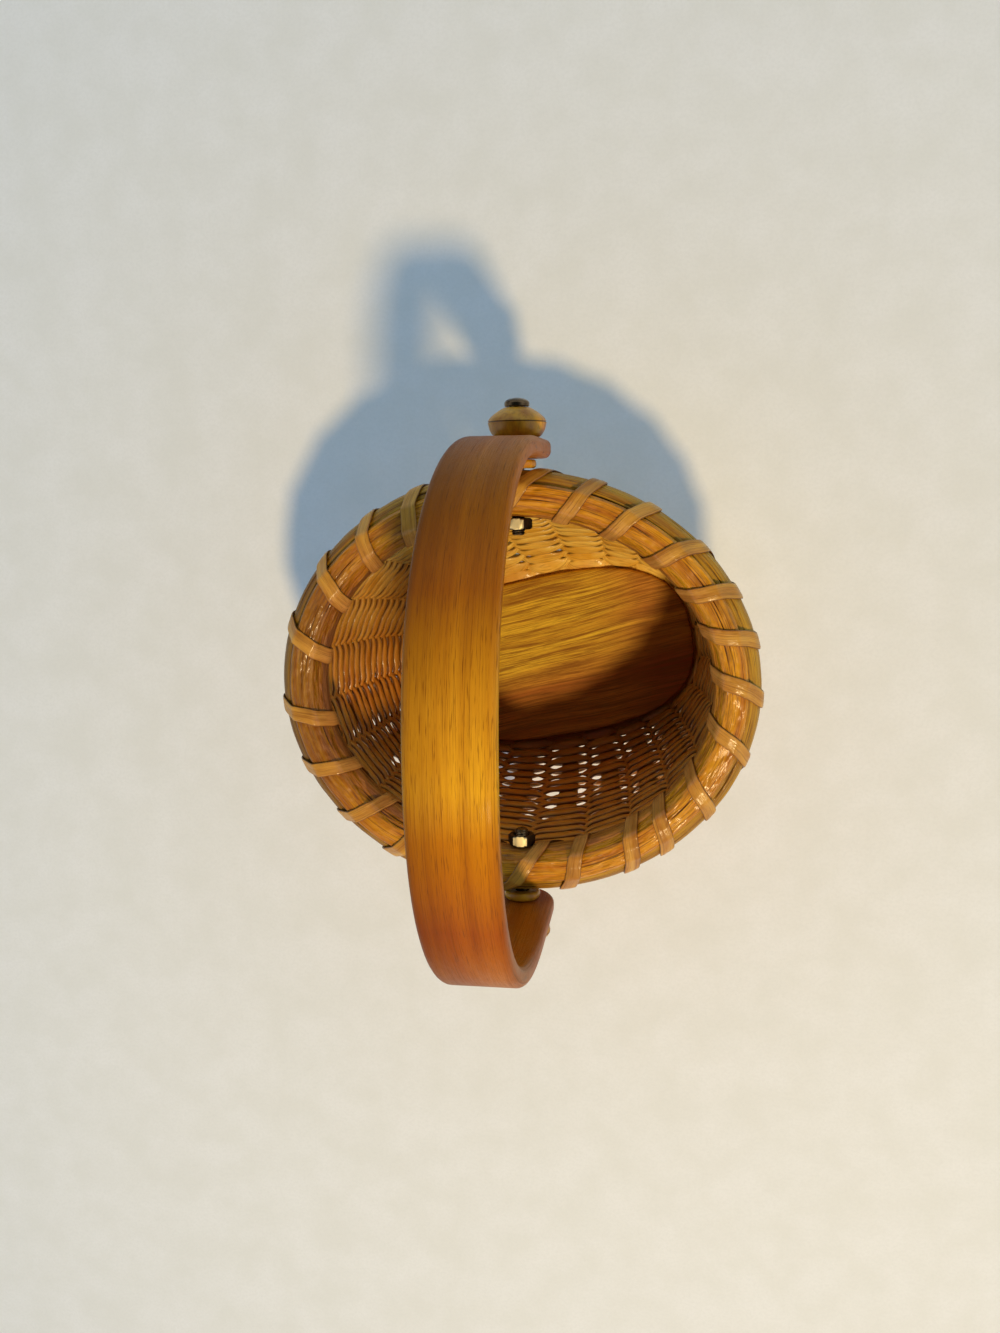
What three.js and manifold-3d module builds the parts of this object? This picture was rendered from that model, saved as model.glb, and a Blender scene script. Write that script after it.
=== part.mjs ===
// Oval Nantucket basket with a bentwood swing handle. Millimetres, +Z up.
// The origin is on the floor under the middle of the basket. X runs along the
// oval, Y along the pivot axis of the handle.
import * as THREE from 'three';
import { mergeVertices } from 'three/addons/utils/BufferGeometryUtils.js';
import Module from 'manifold-3d';

const wasm = await Module();
wasm.setup();

// Clearances
const seatGap = 0.3;
const runningGap = 0.25;
const sideGap = 0.6;

// Wooden base
const baseHalfLength = 48.2;
const baseHalfWidth = 28.6;
const baseSquareness = 2.7;
const baseThickness = 8;
const baseEdgeRound = 0.9;
const baseTurnAngle = THREE.MathUtils.degToRad(11.5);
const baseShiftX = 2;
const baseShiftY = -3;
const grooveLevel = 3.9;
const grooveDepth = 5;

// Staves
const staveThickness = 1.3;
const staveFootWidth = 5.4;
const staveHeadWidth = 7.6;
const staveFootLength = 4.4;

// Woven wall: a broad flat weaver that winds up the staves, with the height of
// about three real rows in each band
const weaveCrossings = 221;
const weaveTaperCrossings = 5;
const weaverThickness = 1;
const weaverCrossingThickness = 1.4;
const weaverGap = 1.6;
const basketDepth = 77;
const bellyShare = 0.42;
const shoulderShare = 0.84;
const wallShoulderLevel = 38;

// Rim hoops
const rimHalfLength = 70;
const rimHalfWidth = 61.5;
const outerHoopThickness = 5.8;
const outerHoopHeight = 10.5;
const innerHoopThickness = 5.6;
const innerHoopHeight = 9.6;
const hoopFullness = 0.7;
const fillerWidth = 8;
const fillerHeight = 2.2;
const fillerCrownShare = 0.72;

// Lashing
const lashTurns = 23;
const lashWidth = 4.6;
const lashThickness = 0.9;
const lashLead = 8;
const lashSquareness = 2.8;
const lashStepsPerTurn = 20;
const lashTuckedShare = 0.28;
const lashFlatShare = 0.8;

// Pivots
const pivotShift = 1.5;
const boltRadius = 1.95;
const boltTail = 1.6;
const boltHeadRadius = 3.5;
const boltHeadHeight = 2.4;
const boltCrownShare = 0.62;
const boltTip = 0.4;
const boltSlotWidth = 0.9;
const boltSlotDepth = 1;
const nutAcrossFlats = 7;
const nutThickness = 3.2;
const washerRadius = 5.3;
const washerThickness = 2.4;
const knobRadius = 8.25;
const knobSeatRadius = 6.4;
const knobCrownRadius = 3.9;
const knobLength = 8.5;
const knobProfile = [[0.93, 0.16], [1, 0.38], [1, 0.46], [0.86, 0.66]];

// Handle
const strapThickness = 5.2;
const strapEarWidth = 18.6;
const strapCrownWidth = 19.6;
const strapEdgeRound = 1.1;
const earDrop = 10;
const legHeight = 25;
const archRise = 83;
const archSquareness = 2.25;
const earAngles = [18, 40, 63, 90];
const handleLeanAngle = THREE.MathUtils.degToRad(1.5);

// Facets
const rimSides = 56;
const hoopSteps = 6;
const baseSides = 44;
const climbSteps = 60;
const archSteps = 26;
const roundSides = 20;

// Levels and widths that follow from the sizes above
const grooveHeight = staveThickness + 2 * seatGap;
const rimLevel = baseThickness + basketDepth;
const hoopGapHalf = staveThickness / 2 + seatGap;
const midHalfLength = rimHalfLength - outerHoopThickness - hoopGapHalf;
const midHalfWidth = rimHalfWidth - outerHoopThickness - hoopGapHalf;
const rimOutside = hoopGapHalf + outerHoopThickness;
const rimInside = -hoopGapHalf - innerHoopThickness;
const hoopTop = outerHoopHeight / 2;
const fillerTop = hoopTop + seatGap + fillerHeight;
const lashBelow = -hoopTop - seatGap - lashThickness / 2;
const lashAbove = fillerTop + seatGap + lashThickness / 2;
const lashOutside = rimOutside + seatGap + lashThickness / 2;
const lashInside = rimInside - seatGap - lashThickness / 2;
const wallTop = rimLevel + lashBelow - lashThickness / 2 - seatGap;
const staveTop = rimLevel + innerHoopHeight / 2 - seatGap;
const nutCornerRadius = nutAcrossFlats / Math.sqrt(3);
const nutFace = rimHalfWidth - rimOutside + rimInside - seatGap;
const washerFace = rimHalfWidth + seatGap;
const strapInside = washerFace + washerThickness + seatGap;
const strapOutside = strapInside + strapThickness;
const knobFace = strapOutside + seatGap;
const boltHeadFace = knobFace + knobLength + seatGap;

// Materials
function finish(color, roughness, metalness) {
  return new THREE.MeshStandardMaterial({ color, roughness, metalness });
}

const finishes = {
  baseWood: finish(0xa8732f, 0.5, 0),
  stave: finish(0xb88a3c, 0.6, 0),
  weave: finish(0xb9822f, 0.65, 0),
  hoop: finish(0xa8702a, 0.45, 0),
  filler: finish(0xb87a2e, 0.4, 0),
  cane: finish(0xc79a4e, 0.4, 0),
  bentwood: finish(0xa9672b, 0.35, 0),
  bone: finish(0xb39a5e, 0.3, 0),
  steel: finish(0x55504a, 0.35, 0.9),
};

// Mesh helpers

// Keeps positions only, merges shared corners, drops flat triangles and turns
// the faces outwards.
function closedSolid(source) {
  const bare = source.clone();
  bare.deleteAttribute('normal');
  bare.deleteAttribute('uv');
  const merged = mergeVertices(bare, 1e-4);
  const corners = merged.index.array;
  const kept = [];
  for (let i = 0; i < corners.length; i += 3) {
    const [a, b, c] = [corners[i], corners[i + 1], corners[i + 2]];
    if (a !== b && b !== c && c !== a) {
      kept.push(a, b, c);
    }
  }
  const position = merged.getAttribute('position');
  const [p, q, r] = [new THREE.Vector3(), new THREE.Vector3(), new THREE.Vector3()];
  let volume = 0;
  for (let i = 0; i < kept.length; i += 3) {
    p.fromBufferAttribute(position, kept[i]);
    q.fromBufferAttribute(position, kept[i + 1]);
    r.fromBufferAttribute(position, kept[i + 2]);
    volume += p.dot(q.cross(r));
  }
  if (volume < 0) {
    kept.reverse();
  }
  const solid = new THREE.BufferGeometry();
  solid.setAttribute('position', position);
  solid.setIndex(kept);
  return solid;
}

// Joins rings of points into one skin. Open rows of rings get an end cap at
// both ends, and closed rows join their last ring to their first.
function skin(rings, closed) {
  const count = rings[0].length;
  const points = rings.flat();
  const triangles = [];
  const spans = closed ? rings.length : rings.length - 1;
  for (let i = 0; i < spans; i++) {
    const here = i * count;
    const there = ((i + 1) % rings.length) * count;
    for (let j = 0; j < count; j++) {
      const k = (j + 1) % count;
      triangles.push(here + j, here + k, there + k, here + j, there + k, there + j);
    }
  }
  if (!closed) {
    addCap(points, triangles, rings, 0, true);
    addCap(points, triangles, rings, rings.length - 1, false);
  }
  const geometry = new THREE.BufferGeometry().setFromPoints(points);
  geometry.setIndex(triangles);
  return closedSolid(geometry);
}

function addCap(points, triangles, rings, which, backwards) {
  const ring = rings[which];
  const middle = new THREE.Vector3();
  ring.forEach((point) => middle.addScaledVector(point, 1 / ring.length));
  const centre = points.push(middle) - 1;
  for (let j = 0; j < ring.length; j++) {
    const a = which * ring.length + j;
    const b = which * ring.length + ((j + 1) % ring.length);
    triangles.push(centre, backwards ? b : a, backwards ? a : b);
  }
}

function toManifold(geometry) {
  const vertProperties = Float32Array.from(geometry.getAttribute('position').array);
  const triVerts = Uint32Array.from(geometry.index.array);
  return new wasm.Manifold(new wasm.Mesh({ numProp: 3, vertProperties, triVerts }));
}

function cut(body, tools) {
  let left = toManifold(body);
  for (const tool of tools) {
    left = left.subtract(toManifold(tool));
  }
  const mesh = left.getMesh();
  const geometry = new THREE.BufferGeometry();
  geometry.setAttribute('position', new THREE.BufferAttribute(mesh.vertProperties, 3));
  geometry.setIndex(Array.from(mesh.triVerts));
  return closedSolid(geometry);
}

// Outlines

// An oval measured by the share of its length, starting at +X and running
// anticlockwise. shape gives the point at a polar angle.
function measuredLoop(shape) {
  const samples = 720;
  const points = [];
  const lengths = [0];
  for (let i = 0; i <= samples; i++) {
    points.push(shape((i / samples) * 2 * Math.PI));
    if (i > 0) {
      lengths.push(lengths[i - 1] + points[i].distanceTo(points[i - 1]));
    }
  }
  const total = lengths[samples];
  function at(share) {
    const wanted = (share - Math.floor(share)) * total;
    let i = Math.min(Math.floor((wanted / total) * samples), samples - 1);
    while (lengths[i + 1] < wanted) i++;
    while (lengths[i] > wanted) i--;
    const part = (wanted - lengths[i]) / (lengths[i + 1] - lengths[i]);
    return points[i].clone().lerp(points[i + 1], part);
  }
  function outward(share) {
    const step = 2 / samples;
    const along = at(share + step).sub(at(share - step)).normalize();
    return new THREE.Vector2(along.y, -along.x);
  }
  return { total, at, outward };
}

function ovalRadius(angle, halfLength, halfWidth, squareness) {
  const x = Math.abs(Math.cos(angle) / halfLength) ** squareness;
  const y = Math.abs(Math.sin(angle) / halfWidth) ** squareness;
  return (x + y) ** (-1 / squareness);
}

const baseCentre = new THREE.Vector2(baseShiftX, baseShiftY);
const baseLoop = measuredLoop((angle) => {
  const radius = ovalRadius(angle - baseTurnAngle, baseHalfLength, baseHalfWidth, baseSquareness);
  return new THREE.Vector2(Math.cos(angle), Math.sin(angle)).multiplyScalar(radius).add(baseCentre);
});

const rimLoop = measuredLoop((angle) => {
  const radius = ovalRadius(angle, midHalfLength, midHalfWidth, 2);
  return new THREE.Vector2(Math.cos(angle), Math.sin(angle)).multiplyScalar(radius);
});

function raised(loop, share, offset, level) {
  const point = loop.at(share).addScaledVector(loop.outward(share), offset);
  return new THREE.Vector3(point.x, point.y, level);
}

// Places round the rim, as distances clockwise from the back pivot, and the
// share of the rim loop that each one has.
const pivotShareStep = pivotShift / rimLoop.total;
const backPivotShare = 0.25 - pivotShareStep;
const rightSideLength = rimLoop.total * (0.5 - 2 * pivotShareStep);
const innerStretch = midHalfLength / (midHalfLength + rimInside);
const outerStretch = midHalfLength / (midHalfLength + rimOutside);
const nutMargin = (nutCornerRadius + lashWidth / 2 + sideGap) * innerStretch;
const washerMargin = (washerRadius + lashWidth / 2 + sideGap) * outerStretch;

function rimShare(distance) {
  return backPivotShare - distance / rimLoop.total;
}

// Where each turn of the lashing runs down the outside of the rim, clear of
// the washers outside and, one lead earlier, of the nuts inside.
function turnDistances() {
  const rightTurns = Math.ceil(lashTurns / 2);
  const leftTurns = lashTurns - rightTurns;
  const leftSideLength = rimLoop.total - rightSideLength;
  const distances = [];
  for (const [start, length, turns] of [
    [0, rightSideLength, rightTurns],
    [rightSideLength, leftSideLength, leftTurns],
  ]) {
    const first = nutMargin + lashLead;
    const spacing = (length - first - washerMargin) / (turns - 1);
    for (let i = 0; i < turns; i++) {
      distances.push(start + first + i * spacing);
    }
  }
  return distances;
}

const lashOutsideAt = turnDistances();
const lashInsideAt = lashOutsideAt.map((distance) => distance - lashLead);

function nextInside(turn) {
  const wraps = turn === lashTurns - 1;
  return wraps ? lashInsideAt[0] + rimLoop.total : lashInsideAt[turn + 1];
}

// A stave stands in the middle between two places where the lashing passes
// under the hoops.
function staveShares() {
  const passes = lashOutsideAt.map((outside, turn) => (outside + nextInside(turn)) / 2);
  return passes.map((pass, turn) => {
    const before = turn === 0 ? passes[lashTurns - 1] - rimLoop.total : passes[turn - 1];
    return rimShare((before + pass) / 2);
  });
}

const staveAt = staveShares();

// Wall surface

// rise runs from 0 at the edge of the base to 1 at the top of the wall. The
// wall leaves the base level and turns up into a gentle flare.
function bezier(t, a, b, c, d) {
  const s = 1 - t;
  return s * s * s * a + 3 * s * s * t * b + 3 * s * t * t * c + t * t * t * d;
}

function wallPoint(share, rise) {
  const spread = bezier(rise, 0, bellyShare, shoulderShare, 1);
  const level = bezier(rise, grooveLevel, grooveLevel, wallShoulderLevel, wallTop);
  const low = raised(baseLoop, share, 2 * seatGap, level);
  const high = raised(rimLoop, share, 0, level);
  return low.lerp(high, spread);
}

// The wall's own directions at a point: along the oval, up the wall and
// outwards through it.
function wallFrame(share, rise) {
  const step = 1e-3;
  const origin = wallPoint(share, rise);
  const along = wallPoint(share + step, rise).sub(wallPoint(share - step, rise)).normalize();
  const lower = Math.max(rise - step, 0);
  const up = wallPoint(share, Math.min(rise + step, 1)).sub(wallPoint(share, lower)).normalize();
  const out = along.clone().cross(up).normalize();
  return { origin, along, out };
}

// How far a point climbs along the wall, in mm, by the end of each step of
// its rise. It is the mean of the ways up the four sides.
function climbLengths() {
  const sides = [0, 0.25, 0.5, 0.75];
  const lengths = [0];
  for (let i = 1; i <= climbSteps; i++) {
    const steps = sides.map((share) => {
      return wallPoint(share, i / climbSteps).distanceTo(wallPoint(share, (i - 1) / climbSteps));
    });
    lengths.push(lengths[i - 1] + steps.reduce((sum, step) => sum + step, 0) / sides.length);
  }
  return lengths;
}

const climbAt = climbLengths();
const wallLength = climbAt[climbSteps];

function riseOfClimb(climb) {
  let i = 0;
  while (i < climbSteps - 1 && climbAt[i + 1] < climb) i++;
  return (i + (climb - climbAt[i]) / (climbAt[i + 1] - climbAt[i])) / climbSteps;
}

// The weaver crosses stave after stave. Crossing n is at stave n % lashTurns,
// outside the stave where n is even and inside it where n is odd. Its upper
// edge climbs by one band in a round, from a narrow start to a narrow end.
const bandPitch = (wallLength * lashTurns)
  / (weaveCrossings - 1 - lashTurns + 2 * weaveTaperCrossings);

function bandTop(crossing) {
  return ((crossing + weaveTaperCrossings) / lashTurns) * bandPitch;
}

// Frames up the wall along a stave, at the edges of the bands that cross it.
// The stave bends only there.
function staveLine(share, k) {
  const climbs = [0];
  for (let n = k; n + lashTurns < weaveCrossings; n += lashTurns) {
    climbs.push(bandTop(n));
  }
  climbs.push(wallLength);
  return climbs.map((climb) => {
    const width = THREE.MathUtils.lerp(staveFootWidth, staveHeadWidth, climb / wallLength);
    return { ...wallFrame(share, riseOfClimb(climb)), climb, width };
  });
}

const staveLines = staveAt.map(staveLine);

// Parts of the basket

function baseBoard() {
  const levels = [
    [baseEdgeRound, 0],
    [0, baseEdgeRound],
    [0, grooveLevel - grooveHeight / 2],
    [grooveDepth, grooveLevel - grooveHeight / 2],
    [grooveDepth, grooveLevel + grooveHeight / 2],
    [0, grooveLevel + grooveHeight / 2],
    [0, baseThickness - baseEdgeRound],
    [baseEdgeRound, baseThickness],
  ];
  const rings = levels.map(([inset, level]) => {
    return Array.from({ length: baseSides }, (_, i) => raised(baseLoop, i / baseSides, -inset, level));
  });
  return skin(rings, false);
}

// The four corners of a flat strip's section.
function stripSection(frame, width, thickness) {
  const corners = [[-1, -1], [1, -1], [1, 1], [-1, 1]];
  return corners.map(([side, face]) => {
    return frame.origin.clone()
      .addScaledVector(frame.along, (side * width) / 2)
      .addScaledVector(frame.out, (face * thickness) / 2);
  });
}

// A stave: its foot in the groove, the wall and its head between the hoops.
function stave(share, line) {
  const inward = baseLoop.outward(share).multiplyScalar(-staveFootLength - 2 * seatGap);
  const footOrigin = line[0].origin.clone().add(new THREE.Vector3(inward.x, inward.y, 0));
  const rimOut = rimLoop.outward(share);
  const head = {
    origin: raised(rimLoop, share, 0, staveTop),
    along: new THREE.Vector3(-rimOut.y, rimOut.x, 0),
    out: new THREE.Vector3(rimOut.x, rimOut.y, 0),
    width: staveHeadWidth,
  };
  const frames = [{ ...line[0], origin: footOrigin }, ...line, head];
  return skin(frames.map((frame) => stripSection(frame, frame.width, staveThickness)), false);
}

// A point at the edge of a stave's channel, on the side of the stave before
// it (1) or after it (-1), and at a distance through the wall.
function besideStave(line, climb, side, through) {
  let i = 0;
  while (i < line.length - 2 && line[i + 1].climb < climb) i++;
  const [low, high] = [line[i], line[i + 1]].map(({ origin, along, out, width }) => {
    return origin.clone()
      .addScaledVector(along, side * (width / 2 + seatGap))
      .addScaledVector(out, through);
  });
  return low.lerp(high, (climb - line[i].climb) / (line[i + 1].climb - line[i].climb));
}

// The weaver where it passes a stave, as pairs of an outer and an inner point
// at its lower and upper edge, before the stave and after it. The core pairs
// lie in the middle of the wall, and fix the places in the gaps.
function crossingEdges(n) {
  const line = staveLines[n % lashTurns];
  const low = n < lashTurns ? 0 : bandTop(n - lashTurns) + weaverGap / 2;
  const high = n + lashTurns >= weaveCrossings ? wallLength : bandTop(n) - weaverGap / 2;
  const middle = ((n % 2 === 0 ? 1 : -1) * (grooveHeight + weaverThickness)) / 2;
  function pair(climb, side, offset, thickness) {
    return {
      outer: besideStave(line, climb, side, offset + thickness / 2),
      inner: besideStave(line, climb, side, offset - thickness / 2),
    };
  }
  const [before, after] = [1, -1].map((side) => ({
    low: pair(low, side, middle, weaverThickness),
    high: pair(high, side, middle, weaverThickness),
    lowCore: pair(low, side, 0, weaverCrossingThickness),
    highCore: pair(high, side, 0, weaverCrossingThickness),
  }));
  return { before, after };
}

function between(one, other) {
  return {
    outer: one.outer.clone().lerp(other.outer, 0.5),
    inner: one.inner.clone().lerp(other.inner, 0.5),
  };
}

// One quad of a sheet, with its two faces and an end face along each side
// that is open. Side i runs from corner i to the next one.
function addPanel(points, corners, openSides) {
  const [a, b, c, d] = corners;
  points.push(a.outer, b.outer, c.outer, a.outer, c.outer, d.outer);
  points.push(a.inner, c.inner, b.inner, a.inner, d.inner, c.inner);
  for (const i of openSides) {
    const [from, to] = [corners[i], corners[(i + 1) % corners.length]];
    points.push(to.outer, from.outer, from.inner, to.outer, from.inner, to.inner);
  }
}

// The weaver as one sheet: it passes the staves in turn, and each band is
// joined to the band above it in the gaps between the staves.
function wovenWall() {
  const passes = Array.from({ length: weaveCrossings }, (_, n) => crossingEdges(n));
  const gaps = passes.slice(1).map(({ before }, n) => ({
    low: between(passes[n].after.lowCore, before.lowCore),
    high: between(passes[n].after.highCore, before.highCore),
  }));
  const points = [];
  passes.forEach(({ before, after }, n) => {
    const ends = [];
    if (n === 0) ends.push(3);
    if (n === weaveCrossings - 1) ends.push(1);
    addPanel(points, [before.low, after.low, after.high, before.high], [0, 2, ...ends]);
  });
  gaps.forEach((gap, n) => {
    const { after } = passes[n];
    const { before } = passes[n + 1];
    const edges = [];
    if (n < lashTurns) edges.push(0);
    if (n + lashTurns >= gaps.length) edges.push(2);
    addPanel(points, [after.low, gap.low, gap.high, after.high], edges);
    addPanel(points, [gap.low, before.low, before.high, gap.high], edges);
  });
  for (let n = 0; n + lashTurns < gaps.length; n++) {
    const above = n + lashTurns;
    const [gap, gapAbove] = [gaps[n], gaps[above]];
    const [after, afterAbove] = [passes[n].after, passes[above].after];
    const [before, beforeAbove] = [passes[n + 1].before, passes[above + 1].before];
    addPanel(points, [after.high, gap.high, gapAbove.low, afterAbove.low], [3]);
    addPanel(points, [gap.high, before.high, beforeAbove.low, gapAbove.low], [1]);
  }
  return closedSolid(new THREE.BufferGeometry().setFromPoints(points));
}

// A hoop whose section, in distances outwards and up, goes round the rim.
function hoop(section) {
  const rings = Array.from({ length: rimSides }, (_, i) => {
    return section.map(([offset, height]) => raised(rimLoop, i / rimSides, offset, rimLevel + height));
  });
  return skin(rings, true);
}

// A half-round section with its flat face towards the staves. side is 1
// outside them and -1 inside.
function halfRound(side, thickness, height) {
  return Array.from({ length: hoopSteps + 1 }, (_, i) => {
    const angle = -Math.PI / 2 + (i / hoopSteps) * Math.PI;
    const bulge = i === 0 || i === hoopSteps ? 0 : Math.cos(angle) ** hoopFullness;
    return [side * (hoopGapHalf + thickness * bulge), (height / 2) * Math.sin(angle)];
  });
}

// A hoop with the two holes that the pivot bolts pass through.
function drilledHoop(section) {
  const radius = boltRadius + seatGap;
  const drill = new THREE.CylinderGeometry(radius, radius, 2 * boltHeadFace, roundSides);
  drill.translate(pivotShift, 0, rimLevel);
  return cut(hoop(section), [closedSolid(drill)]);
}

function fillerSection() {
  const bottom = hoopTop + seatGap;
  const half = fillerWidth / 2;
  const crown = half * fillerCrownShare;
  const middle = (rimOutside + rimInside) / 2;
  return [
    [middle - half, bottom],
    [middle + half, bottom],
    [middle + half, bottom + fillerHeight / 3],
    [middle + crown, bottom + fillerHeight],
    [middle - crown, bottom + fillerHeight],
    [middle - half, bottom + fillerHeight / 3],
  ];
}

// Lashing

// One place on the winding, with the direction out of the rim there. turn
// counts from 0, and part runs from 0 on the inside of the rim, over the top,
// down the outside and back underneath.
function lashPlace(turn, part) {
  const angle = Math.PI - part * 2 * Math.PI;
  const power = 2 / lashSquareness;
  const [across, upward] = [Math.cos(angle), Math.sin(angle)].map((value) => {
    return Math.sign(value) * Math.abs(value) ** power;
  });
  const halfDepth = (lashOutside - lashInside) / 2;
  const halfHeight = (lashAbove - lashBelow) / 2;
  const offset = (lashOutside + lashInside) / 2 + across * halfDepth;
  const height = (lashAbove + lashBelow) / 2 + upward * halfHeight;
  const start = part < 0.5 ? lashInsideAt[turn] : nextInside(turn);
  const distance = THREE.MathUtils.lerp(start, lashOutsideAt[turn], (across + 1) / 2);
  const share = rimShare(distance);
  const [slopeOut, slopeUp] = [across, upward].map((value) => {
    return Math.sign(value) * Math.abs(value) ** (lashSquareness - 1);
  });
  const rimOut = rimLoop.outward(share).multiplyScalar(slopeOut / halfDepth);
  return {
    origin: raised(rimLoop, share, offset, rimLevel + height),
    outward: new THREE.Vector3(rimOut.x, rimOut.y, slopeUp / halfHeight),
  };
}

function lashRings() {
  const steps = Math.round((lashTurns - lashTuckedShare) * lashStepsPerTurn);
  const places = Array.from({ length: steps + 1 }, (_, i) => {
    const turn = Math.floor(i / lashStepsPerTurn);
    return lashPlace(turn, (i % lashStepsPerTurn) / lashStepsPerTurn);
  });
  const flat = lashFlatShare;
  const section = [[-1, 0], [-flat, -1], [flat, -1], [1, 0], [flat, 1], [-flat, 1]];
  return places.map(({ origin, outward }, i) => {
    const before = places[Math.max(i - 1, 0)].origin;
    const after = places[Math.min(i + 1, steps)].origin;
    const forward = after.clone().sub(before).normalize();
    const side = forward.clone().cross(outward).normalize();
    const face = side.clone().cross(forward).normalize();
    return section.map(([across, through]) => {
      return origin.clone()
        .addScaledVector(side, (across * lashWidth) / 2)
        .addScaledVector(face, (through * lashThickness) / 2);
    });
  });
}

// The least distance between the skins of two neighbouring turns.
function leastTurnGap(rings) {
  const [nearest, farthest] = [0.6, 1.4].map((part) => Math.round(lashStepsPerTurn * part));
  let least = Infinity;
  for (let i = 0; i < rings.length; i++) {
    const from = i + nearest;
    const to = Math.min(i + farthest, rings.length - 1);
    for (let j = from; j <= to; j++) {
      for (const point of rings[i]) {
        for (const other of rings[j]) {
          least = Math.min(least, point.distanceTo(other));
        }
      }
    }
  }
  return least;
}

// Handle

// Half of the strap's outside, from the end of the ear up to the crown, as
// places along Y, heights over the pivot and widths.
function strapStations() {
  const earRadius = strapEarWidth / 2;
  const earCentre = earRadius - earDrop;
  const stations = earAngles.map((degrees) => {
    const angle = THREE.MathUtils.degToRad(degrees);
    const height = earCentre - earRadius * Math.cos(angle);
    return { y: strapOutside, z: height, width: 2 * earRadius * Math.sin(angle) };
  });
  const power = 2 / archSquareness;
  for (let i = 0; i <= archSteps; i++) {
    const angle = (i / archSteps) * Math.PI;
    const across = Math.cos(angle);
    const y = strapOutside * Math.sign(across) * Math.abs(across) ** power;
    const z = legHeight + archRise * Math.sin(angle) ** power;
    const climb = z / (legHeight + archRise);
    stations.push({ y, z, width: THREE.MathUtils.lerp(strapEarWidth, strapCrownWidth, climb) });
  }
  const otherEar = stations.slice(0, earAngles.length).reverse();
  return [...stations, ...otherEar.map((station) => ({ ...station, y: -station.y }))];
}

function strap() {
  const stations = strapStations();
  const rings = stations.map(({ y, z, width }, i) => {
    const before = stations[Math.max(i - 1, 0)];
    const after = stations[Math.min(i + 1, stations.length - 1)];
    const along = new THREE.Vector2(after.y - before.y, after.z - before.z).normalize();
    const inward = new THREE.Vector2(-along.y, along.x);
    const half = width / 2;
    const round = Math.min(strapEdgeRound, half / 2);
    const section = [
      [-half, round], [-half + round, 0], [half - round, 0], [half, round],
      [half, strapThickness - round], [half - round, strapThickness],
      [-half + round, strapThickness], [-half, strapThickness - round],
    ];
    return section.map(([x, depth]) => {
      return new THREE.Vector3(x, y + inward.x * depth, z + inward.y * depth);
    });
  });
  const hole = new THREE.CylinderGeometry(
    boltRadius + runningGap, boltRadius + runningGap, 2 * boltHeadFace, roundSides,
  );
  return cut(skin(rings, false), [closedSolid(hole)]);
}

// Pivot hardware, each turned about Y and set at its distance from the middle

function turned(profile) {
  const points = profile.map(([radius, y]) => new THREE.Vector2(radius, y));
  return closedSolid(new THREE.LatheGeometry(points, roundSides));
}

function pivotBolt() {
  const tailEnd = nutFace - nutThickness - boltTail;
  const headTop = boltHeadFace + boltHeadHeight;
  const body = turned([
    [0, tailEnd],
    [boltRadius - boltTip, tailEnd],
    [boltRadius, tailEnd + boltTip],
    [boltRadius, boltHeadFace],
    [boltHeadRadius, boltHeadFace],
    [boltHeadRadius, boltHeadFace + boltHeadHeight / 2],
    [boltHeadRadius * boltCrownShare, headTop],
    [0, headTop],
  ]);
  const slot = new THREE.BoxGeometry(3 * boltHeadRadius, 2 * boltSlotDepth, boltSlotWidth);
  slot.translate(0, headTop, 0);
  return cut(body, [closedSolid(slot)]);
}

function outerKnob() {
  const bore = boltRadius + seatGap;
  const end = knobFace + knobLength;
  return turned([
    [bore, knobFace],
    [knobSeatRadius, knobFace],
    ...knobProfile.map(([out, along]) => [knobRadius * out, knobFace + knobLength * along]),
    [knobCrownRadius, end],
    [bore, end],
    [bore, knobFace],
  ]);
}

function innerWasher() {
  const bore = boltRadius + seatGap;
  const edge = washerThickness / 4;
  const end = washerFace + washerThickness;
  return turned([
    [bore, washerFace],
    [washerRadius - edge, washerFace],
    [washerRadius, washerFace + edge],
    [washerRadius, end - edge],
    [washerRadius - edge, end],
    [bore, end],
    [bore, washerFace],
  ]);
}

function hexNut() {
  const outline = new THREE.Shape();
  for (let i = 0; i < 6; i++) {
    const angle = (i / 6) * 2 * Math.PI;
    const x = nutCornerRadius * Math.cos(angle);
    const y = nutCornerRadius * Math.sin(angle);
    if (i === 0) {
      outline.moveTo(x, y);
    } else {
      outline.lineTo(x, y);
    }
  }
  outline.closePath();
  outline.holes.push(new THREE.Path().absarc(0, 0, boltRadius + seatGap, 0, 2 * Math.PI));
  const geometry = new THREE.ExtrudeGeometry(outline, {
    depth: nutThickness,
    bevelEnabled: false,
    curveSegments: roundSides / 2,
  });
  geometry.rotateX(Math.PI / 2);
  geometry.translate(0, nutFace, 0);
  return closedSolid(geometry);
}

// Assembly

const basket = new THREE.Group();

function add(parent, name, geometry, material) {
  const mesh = new THREE.Mesh(geometry, material);
  mesh.name = name;
  parent.add(mesh);
  return mesh;
}

add(basket, 'base_board', baseBoard(), finishes.baseWood);
staveAt.forEach((share, k) => {
  add(basket, `stave_${String(k + 1).padStart(2, '0')}`, stave(share, staveLines[k]), finishes.stave);
});
add(basket, 'woven_wall', wovenWall(), finishes.weave);
const outerHoop = drilledHoop(halfRound(1, outerHoopThickness, outerHoopHeight));
const innerHoop = drilledHoop(halfRound(-1, innerHoopThickness, innerHoopHeight));
add(basket, 'rim_outer_hoop', outerHoop, finishes.hoop);
add(basket, 'rim_inner_hoop', innerHoop, finishes.hoop);
add(basket, 'rim_top_filler', hoop(fillerSection()), finishes.filler);

const lashing = lashRings();
console.log(`rim_lashing: least gap between its turns ${leastTurnGap(lashing).toFixed(2)} mm`);
add(basket, 'rim_lashing', skin(lashing, false), finishes.cane);

const pivots = new THREE.Group();
pivots.position.set(pivotShift, 0, rimLevel);
basket.add(pivots);

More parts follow.
